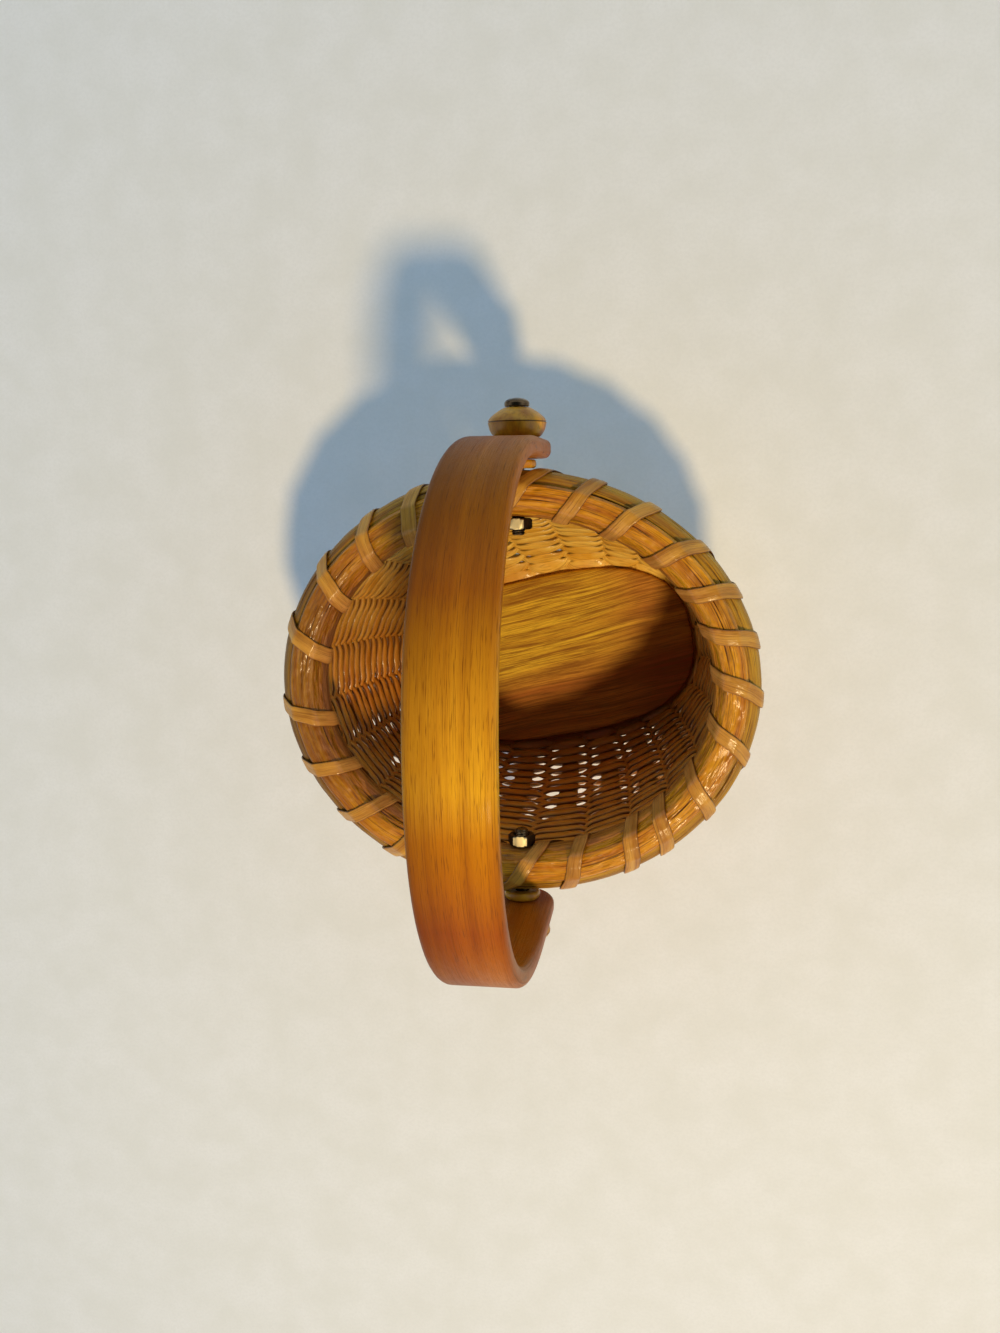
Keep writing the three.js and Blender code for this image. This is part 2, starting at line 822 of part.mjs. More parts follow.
const handle = add(pivots, 'handle', strap(), finishes.bentwood);
handle.rotation.y = handleLeanAngle;

for (const [end, turn] of [['back', 0], ['front', Math.PI]]) {
  const side = new THREE.Group();
  side.rotation.z = turn;
  pivots.add(side);
  add(side, `pivot_bolt_${end}`, pivotBolt(), finishes.steel);
  add(side, `outer_knob_${end}`, outerKnob(), finishes.bone);
  add(side, `inner_washer_${end}`, innerWasher(), finishes.bone);
  add(side, `hex_nut_${end}`, hexNut(), finishes.steel);
}

export default basket;
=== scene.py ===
import math

import bpy
import numpy as np
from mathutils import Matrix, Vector


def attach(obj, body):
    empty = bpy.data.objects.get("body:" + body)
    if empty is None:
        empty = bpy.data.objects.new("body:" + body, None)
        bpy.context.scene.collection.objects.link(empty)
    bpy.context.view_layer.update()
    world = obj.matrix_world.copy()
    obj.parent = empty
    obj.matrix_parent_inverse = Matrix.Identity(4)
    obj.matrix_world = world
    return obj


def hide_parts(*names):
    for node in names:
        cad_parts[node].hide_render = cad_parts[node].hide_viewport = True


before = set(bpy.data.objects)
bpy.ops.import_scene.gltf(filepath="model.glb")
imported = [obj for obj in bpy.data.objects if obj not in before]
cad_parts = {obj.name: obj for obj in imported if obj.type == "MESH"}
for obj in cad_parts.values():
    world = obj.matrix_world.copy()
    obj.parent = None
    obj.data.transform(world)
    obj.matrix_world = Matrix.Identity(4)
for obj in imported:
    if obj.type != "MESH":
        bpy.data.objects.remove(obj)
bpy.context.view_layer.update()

# Oval Nantucket basket. Sizes are in millimetres in the frame of the CAD part
# and become metres when a mesh is made. An offset is measured outward from
# the oval that the middle of the rim or the edge of the base follows.
MM = 0.001
TAU = 2 * math.pi

SEAT = 0.3
BASE_HALF_LENGTH = 48.2
BASE_HALF_WIDTH = 28.6
BASE_SQUARENESS = 2.7
BASE_THICKNESS = 8.0
BASE_EDGE = 0.9
BASE_TURN = math.radians(11.5)
BASE_CENTRE = (2.0, -3.0)
GROOVE_LEVEL = 3.9
GROOVE_DEPTH = 5.0
STAVE_THICKNESS = 1.3
STAVE_FOOT_WIDTH = 5.4
STAVE_HEAD_WIDTH = 7.6
STAVE_FOOT = 4.4
STAVE_TOP = 89.5
RIM_LEVEL = 85.0
RIM_LENGTH = 63.25
RIM_WIDTH = 54.75
HOOP_GAP = 0.95
HOOP_FULLNESS = 0.7
OUTER_THICKNESS = 5.8
INNER_THICKNESS = 5.6
HOOPS = ((1, OUTER_THICKNESS, 10.5), (-1, INNER_THICKNESS, 9.6))  # side, thickness and height
RIM_OUT = HOOP_GAP + OUTER_THICKNESS
RIM_IN = -(HOOP_GAP + INNER_THICKNESS)
WALL_TOP = 78.25
BELLY = 0.42
SHOULDER = 0.84
SHOULDER_LEVEL = 38.0
PIVOT_X = 1.5
NUT_ACROSS_FLATS = 7
WASHER_FLAT_RADIUS = 4.6
WASHER_BULGE = 0.7

# Turns of the lashing on each side of the pivots
RIGHT_TURNS = 12
LEFT_TURNS = 11
TURNS = RIGHT_TURNS + LEFT_TURNS
LASH_LEAD = 8.0
LASH_ROOM = 2.9


# Camera, at the place that the photograph was taken from, in metres
camera_data = bpy.data.cameras.new("camera")
camera_data.lens = 31.138
camera_data.sensor_width = 36.0
camera_data.clip_start = 0.01
camera_data.clip_end = 20.0
camera = bpy.data.objects.new("camera", camera_data)
camera.location = (0.054592, 0.056705, 0.410393)
camera.rotation_euler = (-0.157, 0.177, -0.014)
bpy.context.scene.collection.objects.link(camera)
bpy.context.scene.camera = camera


# Outlines

def clamped(value):
    return np.clip(value, 0, 1)


def ramped(value, start, length):
    """0 up to the start, 1 from a length past it and straight between."""
    return np.clip(value - start, 0, length) / length


def window(value, centre, reach):
    """About 1 near a centre, falling off fast at the reach."""
    return np.exp(-((value - centre) / reach) ** 4)


def unit(v):
    return v / np.linalg.norm(v, axis=-1, keepdims=True)


def way_along(points):
    """Length of a line of points from its start to each of them."""
    return np.r_[0, np.cumsum(np.linalg.norm(np.diff(points, axis=0), axis=1))]


def oval_radius(angle, half_length, half_width, squareness):
    x = np.abs(np.cos(angle) / half_length) ** squareness
    y = np.abs(np.sin(angle) / half_width) ** squareness
    return (x + y) ** (-1.0 / squareness)


class Loop:
    """An oval measured by the share of its length, anticlockwise from +X."""

    def __init__(self, radius, angle, centre=(0.0, 0.0)):
        self.points = np.stack([radius * np.cos(angle), radius * np.sin(angle)], -1) + centre
        lengths = way_along(self.points)
        self.total = lengths[-1]
        self.shares = lengths / self.total

    def at(self, share):
        share = np.mod(share, 1.0)
        return np.stack([np.interp(share, self.shares, self.points[:, i]) for i in (0, 1)], -1)

    def outward(self, share):
        step = 1 / 360
        along = unit(self.at(share + step) - self.at(share - step))
        return np.stack([along[..., 1], -along[..., 0]], -1)


polar = np.linspace(0, TAU, 2881)
base_loop = Loop(oval_radius(polar - BASE_TURN, BASE_HALF_LENGTH, BASE_HALF_WIDTH, BASE_SQUARENESS),
                 polar, BASE_CENTRE)
rim_loop = Loop(oval_radius(polar, RIM_LENGTH, RIM_WIDTH, 2), polar)

BACK_SHARE = 0.25 - PIVOT_X / rim_loop.total
RIGHT_SIDE = rim_loop.total * 0.5 - 2 * PIVOT_X


def rim_share(distance):
    """Share of the rim at a distance clockwise from the back pivot."""
    return BACK_SHARE - np.asarray(distance) / rim_loop.total


def raised(loop, share, offset, level):
    xy = loop.at(share) + loop.outward(share) * np.asarray(offset)[..., None]
    z = np.broadcast_to(level, xy.shape[:-1])[..., None]
    return np.concatenate([xy, z], -1)


def bezier(t, a, b, c, d):
    s = 1 - t
    return s * s * s * a + 3 * s * s * t * b + 3 * s * t * t * c + t * t * t * d


def spline(t, a, b, c, d):
    """Catmull-Rom spline from b to c, with the neighbours a and d."""
    return ((-a + 3 * b - 3 * c + d) * t ** 3 + (2 * a - 5 * b + 4 * c - d) * t ** 2
            + (c - a) * t + 2 * b) / 2


def wall_point(share, rise):
    """A place on the middle of the wall. The rise goes from 0 at the base's
    groove to 1 at the top of the weaving."""
    share, rise = np.broadcast_arrays(np.asarray(share, float), np.asarray(rise, float))
    spread = bezier(rise, 0.0, BELLY, SHOULDER, 1.0)[..., None]
    level = bezier(rise, GROOVE_LEVEL, GROOVE_LEVEL, SHOULDER_LEVEL, WALL_TOP)
    low = raised(base_loop, share, np.full(share.shape, 2 * SEAT), level)
    high = raised(rim_loop, share, np.zeros(share.shape), level)
    return low * (1 - spread) + high * spread


def wall_frame(share, rise):
    """Places on the wall with the directions along the oval and outward."""
    step = 1e-3
    along = unit(wall_point(share + step, rise) - wall_point(share - step, rise))
    higher = np.minimum(rise + step, 1)
    lower = np.maximum(rise - step, 0)
    up = unit(wall_point(share, higher) - wall_point(share, lower))
    return wall_point(share, rise), along, unit(np.cross(along, up))


# Staves stand midway between the under-passes of an evenly turned lashing.
# On each side it starts past the nut and ends before the washer
def stave_distances():
    nut_room = NUT_ACROSS_FLATS / math.sqrt(3) + LASH_ROOM
    nut_margin = nut_room * RIM_LENGTH / (RIM_LENGTH + RIM_IN)
    washer_room = WASHER_FLAT_RADIUS + WASHER_BULGE + LASH_ROOM
    washer_margin = washer_room * RIM_LENGTH / (RIM_LENGTH + RIM_OUT)
    outside = []
    for start, length, turns in (
        (0, RIGHT_SIDE, RIGHT_TURNS),
        (RIGHT_SIDE, rim_loop.total - RIGHT_SIDE, LEFT_TURNS),
    ):
        first = nut_margin + LASH_LEAD
        spacing = (length - first - washer_margin) / (turns - 1)
        outside += [start + first + i * spacing for i in range(turns)]
    outside = np.array(outside)
    inside = outside - LASH_LEAD
    passes = (outside + np.r_[inside[1:], inside[0] + rim_loop.total]) / 2
    return (np.r_[passes[-1] - rim_loop.total, passes[:-1]] + passes) / 2


STAVE_AT = stave_distances()


def smooth_noise(count, knots, seed):
    """Smooth random values along a line, about -1 to 1."""
    values = np.random.default_rng(seed).uniform(-1, 1, knots)
    values = np.r_[values, values[:3]]
    x = np.linspace(0, knots, count, endpoint=False)
    i = np.floor(x).astype(int)
    return spline(x - i, *(values[(i + k) % len(values)] for k in range(4)))


# Meshes

def ring_faces(count, around, closed):
    """Faces between rings of points. Open rows of rings get end caps."""
    i = np.arange(count if closed else count - 1)[:, None] * around
    j = np.arange(around)[None, :]
    after = (i + around) % (count * around)
    k = (j + 1) % around
    faces = np.stack([i + j, i + k, after + k, after + j], -1).reshape(-1, 4).tolist()
    if not closed:
        faces.append(list(range(around - 1, -1, -1)))
        faces.append(list(range((count - 1) * around, count * around)))
    return faces


def make_piece(name, points, faces, grain, material, slot, node, groove=None, sharp=40,
               body="basket"):
    """A mesh that rides on a body in the place of one of the frame's nodes."""
    points = points.reshape(-1, 3)
    # The volume inside comes out below 0 where the faces point inward
    fans = np.array([(face[0], *pair) for face in faces for pair in zip(face[1:], face[2:])])
    a, b, c = points[fans.T]
    if np.sum(a * np.cross(b, c)) < 0:
        faces = [face[::-1] for face in faces]
    mesh = bpy.data.meshes.new(name)
    mesh.from_pydata((points * MM).tolist(), [], faces)
    attribute = mesh.attributes.new("grain", "FLOAT_VECTOR", "POINT")
    attribute.data.foreach_set("vector", np.asarray(grain, np.float32).reshape(-1))
    # The groove mark holds real grooves and lines, painted shade on the weaving and lashing, and a
    # painted highlight on the nuts
    if groove is not None:
        attribute = mesh.attributes.new("groove", "FLOAT", "POINT")
        attribute.data.foreach_set("value", np.asarray(groove, np.float32).reshape(-1))
    mesh.shade_smooth()
    mesh.set_sharp_from_angle(angle=math.radians(sharp))
    mesh.materials.append(material)
    obj = bpy.data.objects.new(name, mesh)
    bpy.context.scene.collection.objects.link(obj)
    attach(obj, body)
    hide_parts(node)


def strand(name, places, side, face, across, through, grain_rest, *look, **settings):
    """A piece swept along a line of places. across and through are its section
    along the side and face directions. The grain's first axis follows the line,
    and grain_rest holds the other two."""
    rings = (places[:, None, :] + side[:, None, :] * across[..., None]
             + face[:, None, :] * through[..., None])
    grain = np.zeros_like(rings)
    grain[..., 0] = way_along(places)[:, None]
    grain[..., 1], grain[..., 2] = grain_rest
    make_piece(name, rings, ring_faces(*rings.shape[:2], False), grain, *look, **settings)


# Materials

def srgb(*levels):
    shares = (level / 255 for level in levels)
    return (*(s / 12.92 if s <= 0.04045 else ((s + 0.055) / 1.055) ** 2.4 for s in shares), 1.0)


class Nodes:
    """A small builder of a node tree. An input that is a socket is linked."""

    def __init__(self, tree):
        self.tree = tree
        tree.nodes.clear()

    def put(self, kind, inputs=None, **settings):
        node = self.tree.nodes.new(kind)
        for key, value in settings.items():
            setattr(node, key, value)
        for key, value in (inputs or {}).items():
            if isinstance(value, bpy.types.NodeSocket):
                self.tree.links.new(value, node.inputs[key])
            else:
                node.inputs[key].default_value = value
        return node

    def math(self, operation, a, b):
        return self.put("ShaderNodeMath", {0: a, 1: b}, operation=operation).outputs[0]

    def ramp(self, value, low, high, to_low=0.0, to_high=1.0, **settings):
        return self.put("ShaderNodeMapRange", {
            "Value": value, "From Min": low, "From Max": high,
            "To Min": to_low, "To Max": to_high,
        }, **settings).outputs[0]


class Shader(Nodes):
    """The node tree of a new material."""

    def __init__(self, name):
        self.material = bpy.data.materials.new(name)
        self.material.use_nodes = True
        super().__init__(self.material.node_tree)

    def attribute(self, name, output):
        return self.put("ShaderNodeAttribute", attribute_name=name).outputs[output]

    def noise(self, vector, scale=1.0, detail=3.0, roughness=0.55):
        return self.put("ShaderNodeTexNoise", {
            "Vector": vector, "Scale": scale, "Detail": detail, "Roughness": roughness,
        }).outputs["Fac"]

    def fibres(self, grain, lengths, shift=(0, 0, 0), **settings):
        """Noise whose cells have the given lengths, along the grain first."""
        stretched = self.put("ShaderNodeMapping", {
            "Vector": grain, "Scale": tuple(1 / length for length in lengths), "Location": shift,
        }).outputs[0]
        return self.noise(stretched, **settings)

    def mix(self, share, a, b, blend="MIX"):
        return self.put("ShaderNodeMix", {0: share, 6: a, 7: b},
                        data_type="RGBA", blend_type=blend).outputs[2]

    def tinted(self, colour, value, low, high, share, tint):
        """The colour, with up to a share of the tint where a value is high."""
        return self.mix(self.ramp(value, low, high, 0.0, share), colour, srgb(*tint))

    def toned(self, colour, grain, stops, axis):
        """The colour times a tone that changes straight from one stop to the
        next along an axis. A stop is (place, (red, green, blue))."""
        place = self.put("ShaderNodeSeparateXYZ", {0: grain}).outputs[axis]
        tone = (*stops[0][1], 1)
        for (low, _), (high, following) in zip(stops[:-1], stops[1:]):
            tone = self.mix(self.ramp(place, low, high), tone, (*following, 1))
        return self.mix(1.0, colour, tone, "MULTIPLY")

    def bump(self, height, strength, distance, normal=None):
        inputs = {"Height": height, "Strength": strength, "Distance": distance}
        if normal is not None:
            inputs["Normal"] = normal
        return self.put("ShaderNodeBump", inputs).outputs[0]

    def surface(self, inputs):
        surface = self.put("ShaderNodeBsdfPrincipled", inputs)
        self.put("ShaderNodeOutputMaterial", {"Surface": surface.outputs[0]})
        return self.material


# Dark colour of real grooves and splits, also used for painted shade along strip edges and low
# inside the weaving
GROOVE_AND_SHADE_COLOUR = (58, 18, 2)
FIBRE_RELIEF = 0.0003
SWELL_RELIEF = 0.001


def fibre_material(name, pale, deep, line, stain, rough, tone_length=60.0, tone_width=3.0,
                   line_width=0.32, line_length=30.0, line_share=0.5, fleck_share=0.45,
                   stain_share=0.55, coat=0.0, shine=0.3, wave=0.0, groove=False, painted_light_tones=(),
                   tone_axis="X", side_painted_light_tones=()):
    """Cane or wood with its grain along the first axis of the grain attribute.
    Its colours are pale and deep in turn, with lines, flecks and stains."""
    s = Shader(name)
    grain = s.attribute("grain", "Vector")
    tone = s.fibres(grain, (tone_length, tone_width, tone_length), detail=2.0)
    lines = s.fibres(grain, (line_length, line_width, line_length), detail=4.0, roughness=0.6)
    flecks = s.fibres(grain, (6, 0.26, 6), (31, 7, 3), detail=2.0)
    blotch = s.fibres(grain, (22, 9, 22), (5, 90, 17), detail=3.0)
    swell = s.fibres(grain, (9, 3, 9), (50, 3, 8), detail=2.0)
    colour = s.mix(s.ramp(tone, 0.36, 0.66), srgb(*pale), srgb(*deep))
    # Tone tables multiply the colour by place, as painted light and shade
    if painted_light_tones:
        colour = s.toned(colour, grain, painted_light_tones, tone_axis)
    if side_painted_light_tones:
        colour = s.toned(colour, grain, side_painted_light_tones, "Y")
    colour = s.tinted(colour, blotch, 0.52, 0.76, stain_share, stain)
    colour = s.tinted(colour, lines, 0.52, 0.68, line_share, line)
    colour = s.tinted(colour, flecks, 0.58, 0.70, fleck_share, line)
    # The groove mark darkens real grooves and splits, and on the weaving and lashing it also paints
    # shade
    if groove:
        depth = s.attribute("groove", "Fac")
        colour = s.tinted(colour, depth, 0.1, 0.75, 0.93, GROOVE_AND_SHADE_COLOUR)
    height = s.math("ADD", lines, s.math("MULTIPLY", flecks, 0.5))
    normal = s.bump(height, 0.45, FIBRE_RELIEF)
    coat_normal = s.bump(height, 0.2, FIBRE_RELIEF)
    if wave:
        normal = s.bump(swell, wave, SWELL_RELIEF, normal)
        coat_normal = s.bump(swell, 0.45 * wave, SWELL_RELIEF, coat_normal)
    return s.surface({
        "Base Color": colour,
        "Roughness": s.ramp(lines, 0.3, 0.75, rough - 0.06, rough + 0.14),
        "Specular IOR Level": shine,
        "Coat Weight": coat,
        "Coat Roughness": 0.12,
        "Normal": normal,
        "Coat Normal": coat_normal,
    })


# Tones multiply a colour at places along one axis of the grain. They are painted
# light and shade: they darken parts that lie in shade or in a cast shadow and
# lighten where the lamp falls, and on the handle they also hold some of the
# wood's own tone. On the rim and the wall that axis runs across the basket, on
# the handle along the strap and on the lashing across the rim
# Painted shade on the left of the rim, and painted light on its lit right side
RIM_LIGHT_AND_SHADE_TONES = (
    (-64, (0.55, 0.58, 0.75)), (-58, (0.48, 0.46, 0.40)), (-50, (0.72, 0.71, 0.42)),
    (-34, (0.94, 0.97, 0.8)), (20, (0.98, 1.02, 0.6)), (64, (1.05, 1.15, 0.7)),
)
# Painted shade on the weaving, darker towards the front and left, full colour at the lit back
WEAVE_SHADE_TONES = (
    (-60, (0.84, 0.49, 0.22)), (-30, (0.75, 0.43, 0.22)), (-8, (0.58, 0.40, 0.24)),
    (15, (0.74, 0.58, 0.45)), (32, (1, 1, 0.95)), (60, (1, 1, 1)),
)
# Painted light and shade along the strap: a painted highlight near the crown, darker stretches
# beside it, and some of the wood's own tone near the ears
HANDLE_LIGHT_AND_SHADE_TONES = (
    (0, (0.60, 0.43, 0.80)), (78, (0.62, 0.44, 0.52)), (106, (0.51, 0.37, 0.06)),
    (120, (0.55, 0.40, 0.06)), (145, (1.02, 1.14, 1.5)), (161, (1.14, 1.36, 1.2)),
    (172, (0.82, 0.72, 0.1)), (196, (0.53, 0.30, 0.0)), (216, (0.60, 0.42, 0.0)),
    (236, (0.55, 0.42, 0.03)), (262, (0.56, 0.31, 0.25)), (330, (0.56, 0.31, 0.3)),
)
# Painted shade along the strap's left edge
HANDLE_SIDE_SHADE_TONES = ((-9.8, (0.60, 0.56, 0.55)), (-6, (0.68, 0.65, 0.65)), (-1, (1, 1, 1)))
# Painted shade tint on the lashing's inner side, less green and more blue
LASH_SHADE_TONES = ((-6.6, (0.94, 0.84, 1.5)), (-3, (1, 0.96, 1.2)), (2, (1, 1, 1)))
# Painted shadow on the board, at its front part and at its right end, where the rim and wall shade
# it
BOARD_SHADOW_TONES = ((-14, (0.70, 0.40, 0.7)), (-4, (1, 1, 1)))
BOARD_END_SHADOW_TONES = ((18, (1, 1, 1)), (36, (0.72, 0.48, 0.7)))

# Each band of the rim has its own stretch of the grain, by its seed
BAND_GRAIN_STEP = 13
OUTER_SEED = 11
INNER_SEED = 12
FILLER_SEED = 14
FILLER_GRAIN = BAND_GRAIN_STEP * FILLER_SEED
# Painted shade tint on the filler's inner edge, darker and bluer
FILLER_SIDE_SHADE_TONES = (
    (FILLER_GRAIN, (0.78, 0.60, 3.4)), (FILLER_GRAIN + 2.4, (0.96, 0.84, 1.8)),
    (FILLER_GRAIN + 4.4, (1, 1, 1)),
)

rim_look = dict(line_length=22.0, fleck_share=0.7, groove=True, painted_light_tones=RIM_LIGHT_AND_SHADE_TONES, tone_axis="Z")
hoop_look = dict(rim_look, rough=0.42, tone_width=1.4, line_width=0.22, line_share=0.9,
                 stain_share=0.7, shine=0.2, coat=0.08, wave=0.9)
hoop_material = fibre_material(
    "hoop_cane", (186, 130, 24), (150, 94, 13), (78, 38, 4), (112, 70, 14), **hoop_look)
# The inner hoop has the hoop cane's look in less green, bluer colours, a painted tint of the shade
# it sits in
shade_tinted_inner_hoop_material = fibre_material(
    "inner_hoop_cane", (184, 112, 48), (146, 82, 30), (78, 34, 8), (108, 62, 24), **hoop_look)
filler_material = fibre_material(
    "filler_cane", (212, 136, 14), (180, 101, 10), (90, 40, 4), (118, 66, 7), 0.40,
    tone_width=2.0, line_width=0.26, line_share=0.8, stain_share=0.75, shine=0.24, coat=0.22,
    wave=2.0, side_painted_light_tones=FILLER_SIDE_SHADE_TONES, **rim_look)
lash_material = fibre_material(
    "lashing_cane", (202, 142, 48), (170, 108, 28), (106, 58, 14), (128, 80, 24), 0.36,
    tone_length=25.0, tone_width=2.5, line_width=0.3, line_share=0.6, shine=0.2, coat=0.2,
    wave=0.5, groove=True, painted_light_tones=LASH_SHADE_TONES, tone_axis="Z")
weave_material = fibre_material(
    "weaving_cane", (250, 212, 108), (228, 172, 58), (140, 78, 14), (176, 106, 20), 0.38,
    tone_length=16.0, tone_width=6.0, line_width=0.4, line_length=12.0, stain_share=0.4,
    shine=0.25, coat=0.18, wave=0.5, groove=True, painted_light_tones=WEAVE_SHADE_TONES, tone_axis="Z")
stave_material = fibre_material(
    "stave_cane", (196, 138, 36), (160, 98, 16), (100, 52, 8), (116, 66, 10), 0.45,
    tone_length=40.0, tone_width=2.0, line_width=0.25, shine=0.2)
handle_material = fibre_material(
    "handle_bentwood", (208, 134, 20), (182, 110, 14), (104, 52, 5), (158, 90, 10), 0.36,
    tone_length=170.0, tone_width=4.0, line_width=0.24, line_length=26.0, line_share=0.6,
    fleck_share=0.75, stain_share=0.35, shine=0.05, coat=0.03, wave=0.25, painted_light_tones=HANDLE_LIGHT_AND_SHADE_TONES,
    side_painted_light_tones=HANDLE_SIDE_SHADE_TONES)


def board_material():
    s = Shader("base_wood")
    grain = s.attribute("grain", "Vector")
    wander = s.fibres(grain, (90, 40, 40), detail=2.0)
    aside = s.put("ShaderNodeCombineXYZ", {"Y": s.ramp(wander, 0, 1, -4, 4)}).outputs[0]
    bent = s.put("ShaderNodeVectorMath", {0: grain, 1: aside}, operation="ADD").outputs[0]
    rings = s.fibres(bent, (80, 4.0, 30), detail=3.0)
    streaks = s.fibres(bent, (24, 0.7, 20), (3, 11, 0), detail=5.0, roughness=0.7)
    pores = s.fibres(grain, (4.5, 0.24, 6), (9, 0, 4), detail=2.0)
    colour = s.mix(s.ramp(rings, 0.38, 0.62), srgb(236, 194, 50), srgb(204, 154, 34))
    # Painted shadow of the rim and wall on the board
    colour = s.toned(colour, grain, BOARD_SHADOW_TONES, "Y")
    colour = s.toned(colour, grain, BOARD_END_SHADOW_TONES, "X")
    colour = s.tinted(colour, streaks, 0.42, 0.60, 0.85, (130, 78, 12))
    colour = s.tinted(colour, pores, 0.58, 0.74, 0.55, (104, 54, 8))
    return s.surface({
        "Base Color": colour,
        "Roughness": s.ramp(streaks, 0.3, 0.7, 0.5, 0.66),
        "Specular IOR Level": 0.2,
        "Normal": s.bump(s.math("ADD", streaks, pores), 0.3, FIBRE_RELIEF),
    })


def bone_material():
    s = Shader("turned_bone")
    grain = s.attribute("grain", "Vector")
    cloud = s.fibres(grain, (5, 5, 9), detail=3.0)
    fine = s.fibres(grain, (1.2, 1.2, 7), detail=3.0, roughness=0.6)
    line = s.attribute("groove", "Fac")
    colour = s.mix(s.ramp(cloud, 0.36, 0.66), srgb(200, 136, 26), srgb(156, 90, 12))
    colour = s.tinted(colour, fine, 0.5, 0.72, 0.5, (122, 72, 14))
    colour = s.tinted(colour, line, 0.1, 0.8, 0.85, (50, 26, 8))
    return s.surface({
        "Base Color": colour,
        "Roughness": s.ramp(fine, 0.3, 0.7, 0.26, 0.4),
        "Specular IOR Level": 0.25,
        "Subsurface Weight": 0.08,
        "Subsurface Scale": 0.002,
        "Coat Weight": 0.1,
        "Coat Roughness": 0.15,
        "Normal": s.bump(fine, 0.15, 0.0002),
    })


def steel_material(name, bright, dark, rough, painted_highlight=None):
    """Steel with a cloudy finish. Its marked parts get a plain colour as a painted highlight."""
    s = Shader(name)
    grain = s.attribute("grain", "Vector")
    cloud = s.fibres(grain, (1 / 0.35,) * 3, detail=4.0)
    marks = s.fibres(grain, (0.25,) * 3, detail=3.0)
    colour = s.mix(s.ramp(cloud, 0.4, 0.66), bright, dark)
    colour = s.tinted(colour, marks, 0.6, 0.78, 0.4, (58, 34, 18))
    if painted_highlight is not None:
        colour = s.mix(s.attribute("groove", "Fac"), colour, painted_highlight)
    return s.surface({
        "Base Color": colour,
        "Metallic": 0.92,
        "Roughness": s.ramp(cloud, 0.3, 0.7, rough, rough + 0.15),
        "Normal": s.bump(marks, 0.2, 0.0001),
    })


board_finish = board_material()
bone_finish = bone_material()
bolt_finish = steel_material("worn_steel", srgb(104, 88, 66), srgb(44, 32, 22), 0.2)
# The nut's top flat is painted pale, a painted highlight of the lamp
nut_finish = steel_material("dark_steel", srgb(74, 56, 38), srgb(34, 22, 13), 0.4,
                            srgb(214, 200, 160))


# Wooden base with its groove for the staves
BOARD_STEPS = 240
EDGE_STEPS = 6
TOP_INSET = 4
BOARD_GRAIN_TURN = BASE_TURN + 0.05


def board():
    low = GROOVE_LEVEL - STAVE_THICKNESS / 2 - SEAT
    high = GROOVE_LEVEL + STAVE_THICKNESS / 2 + SEAT
    turns = [math.pi / 2 * k / EDGE_STEPS for k in range(EDGE_STEPS + 1)]
    profile = [(BASE_EDGE * (1 - math.sin(t)), BASE_EDGE * (1 - math.cos(t))) for t in turns]
    profile += [(0, low), (GROOVE_DEPTH, low), (GROOVE_DEPTH, high), (0, high)]
    profile += [(BASE_EDGE * (1 - math.cos(t)), BASE_THICKNESS - BASE_EDGE * (1 - math.sin(t)))
                for t in turns]
    profile += [(TOP_INSET, BASE_THICKNESS)]
    shares = np.arange(BOARD_STEPS) / BOARD_STEPS
    points = np.vstack([raised(base_loop, shares, np.full(BOARD_STEPS, -inset), level)
                        for inset, level in profile])
    c, s = math.cos(BOARD_GRAIN_TURN), math.sin(BOARD_GRAIN_TURN)
    grain = np.stack([points[:, 0] * c + points[:, 1] * s,
                      points[:, 1] * c - points[:, 0] * s, points[:, 2]], -1)
    make_piece("base_board_wood", points, ring_faces(len(profile), BOARD_STEPS, False), grain,
               board_finish, "base_wood", "base_board")


board()


# Flat oval strips for the staves
STAVE_STEPS = 40
STAVE_SIDES = 20
STAVE_GRAIN_STEP = 900


def strip_section(steps, width, thickness, power=0.42):
    """Closed outline of a flat strip with soft edges, as (across, through)."""
    angle = np.arange(steps) / steps * TAU
    across = np.sign(np.cos(angle)) * np.abs(np.cos(angle)) ** power * width / 2
    through = np.sign(np.sin(angle)) * np.abs(np.sin(angle)) ** 0.75 * thickness / 2
    return across, through


def stave(number, distance):
    share = rim_share(distance)
    rises = np.linspace(0, 1, STAVE_STEPS)
    places, along, out = wall_frame(np.full(STAVE_STEPS, share), rises)
    widths = STAVE_FOOT_WIDTH + (STAVE_HEAD_WIDTH - STAVE_FOOT_WIDTH) * rises
    inward = -base_loop.outward(share) * (STAVE_FOOT + 2 * SEAT)
    foot = places[0] + np.r_[inward, 0]
    rim_out = rim_loop.outward(share)
    head = raised(rim_loop, share, 0.0, STAVE_TOP)
    places = np.vstack([foot, places, head])
    along = np.vstack([along[0], along, np.r_[-rim_out[1], rim_out[0], 0]])
    out = np.vstack([out[0], out, np.r_[rim_out, 0]])
    widths = np.pad(widths, 1, "edge")[:, None]
    across, through = strip_section(STAVE_SIDES, widths, STAVE_THICKNESS - SEAT)
    strand(f"stave_strip_{number:02d}", places, along, out, across, through,
           (across, number * STAVE_GRAIN_STEP), stave_material, "stave_cane", f"stave_{number:02d}")


for number, distance in enumerate(STAVE_AT, 1):
    stave(number, distance)


# Weaving cane: one spiral that passes in front of one stave and behind the
# next, all the way up the wall. It starts and ends as a wedge, so that the
# rows meet the board and the rim all round
WEAVE_ROWS = 36
WEAVE_STEPS = 16
WEAVE_SIDES = 12
WEAVE_DEPTH = 1.55
WEAVE_SWING = 1.3
WEAVE_OVERLAP = 0.5
WEAVE_FIRMNESS = 2.6
WEDGE_INWARD = 0.8
THINNEST_ROW = 0.28
CLIMB_LINES = 144
CLIMB_STEPS = 240
CLIMB_SAMPLES = 300


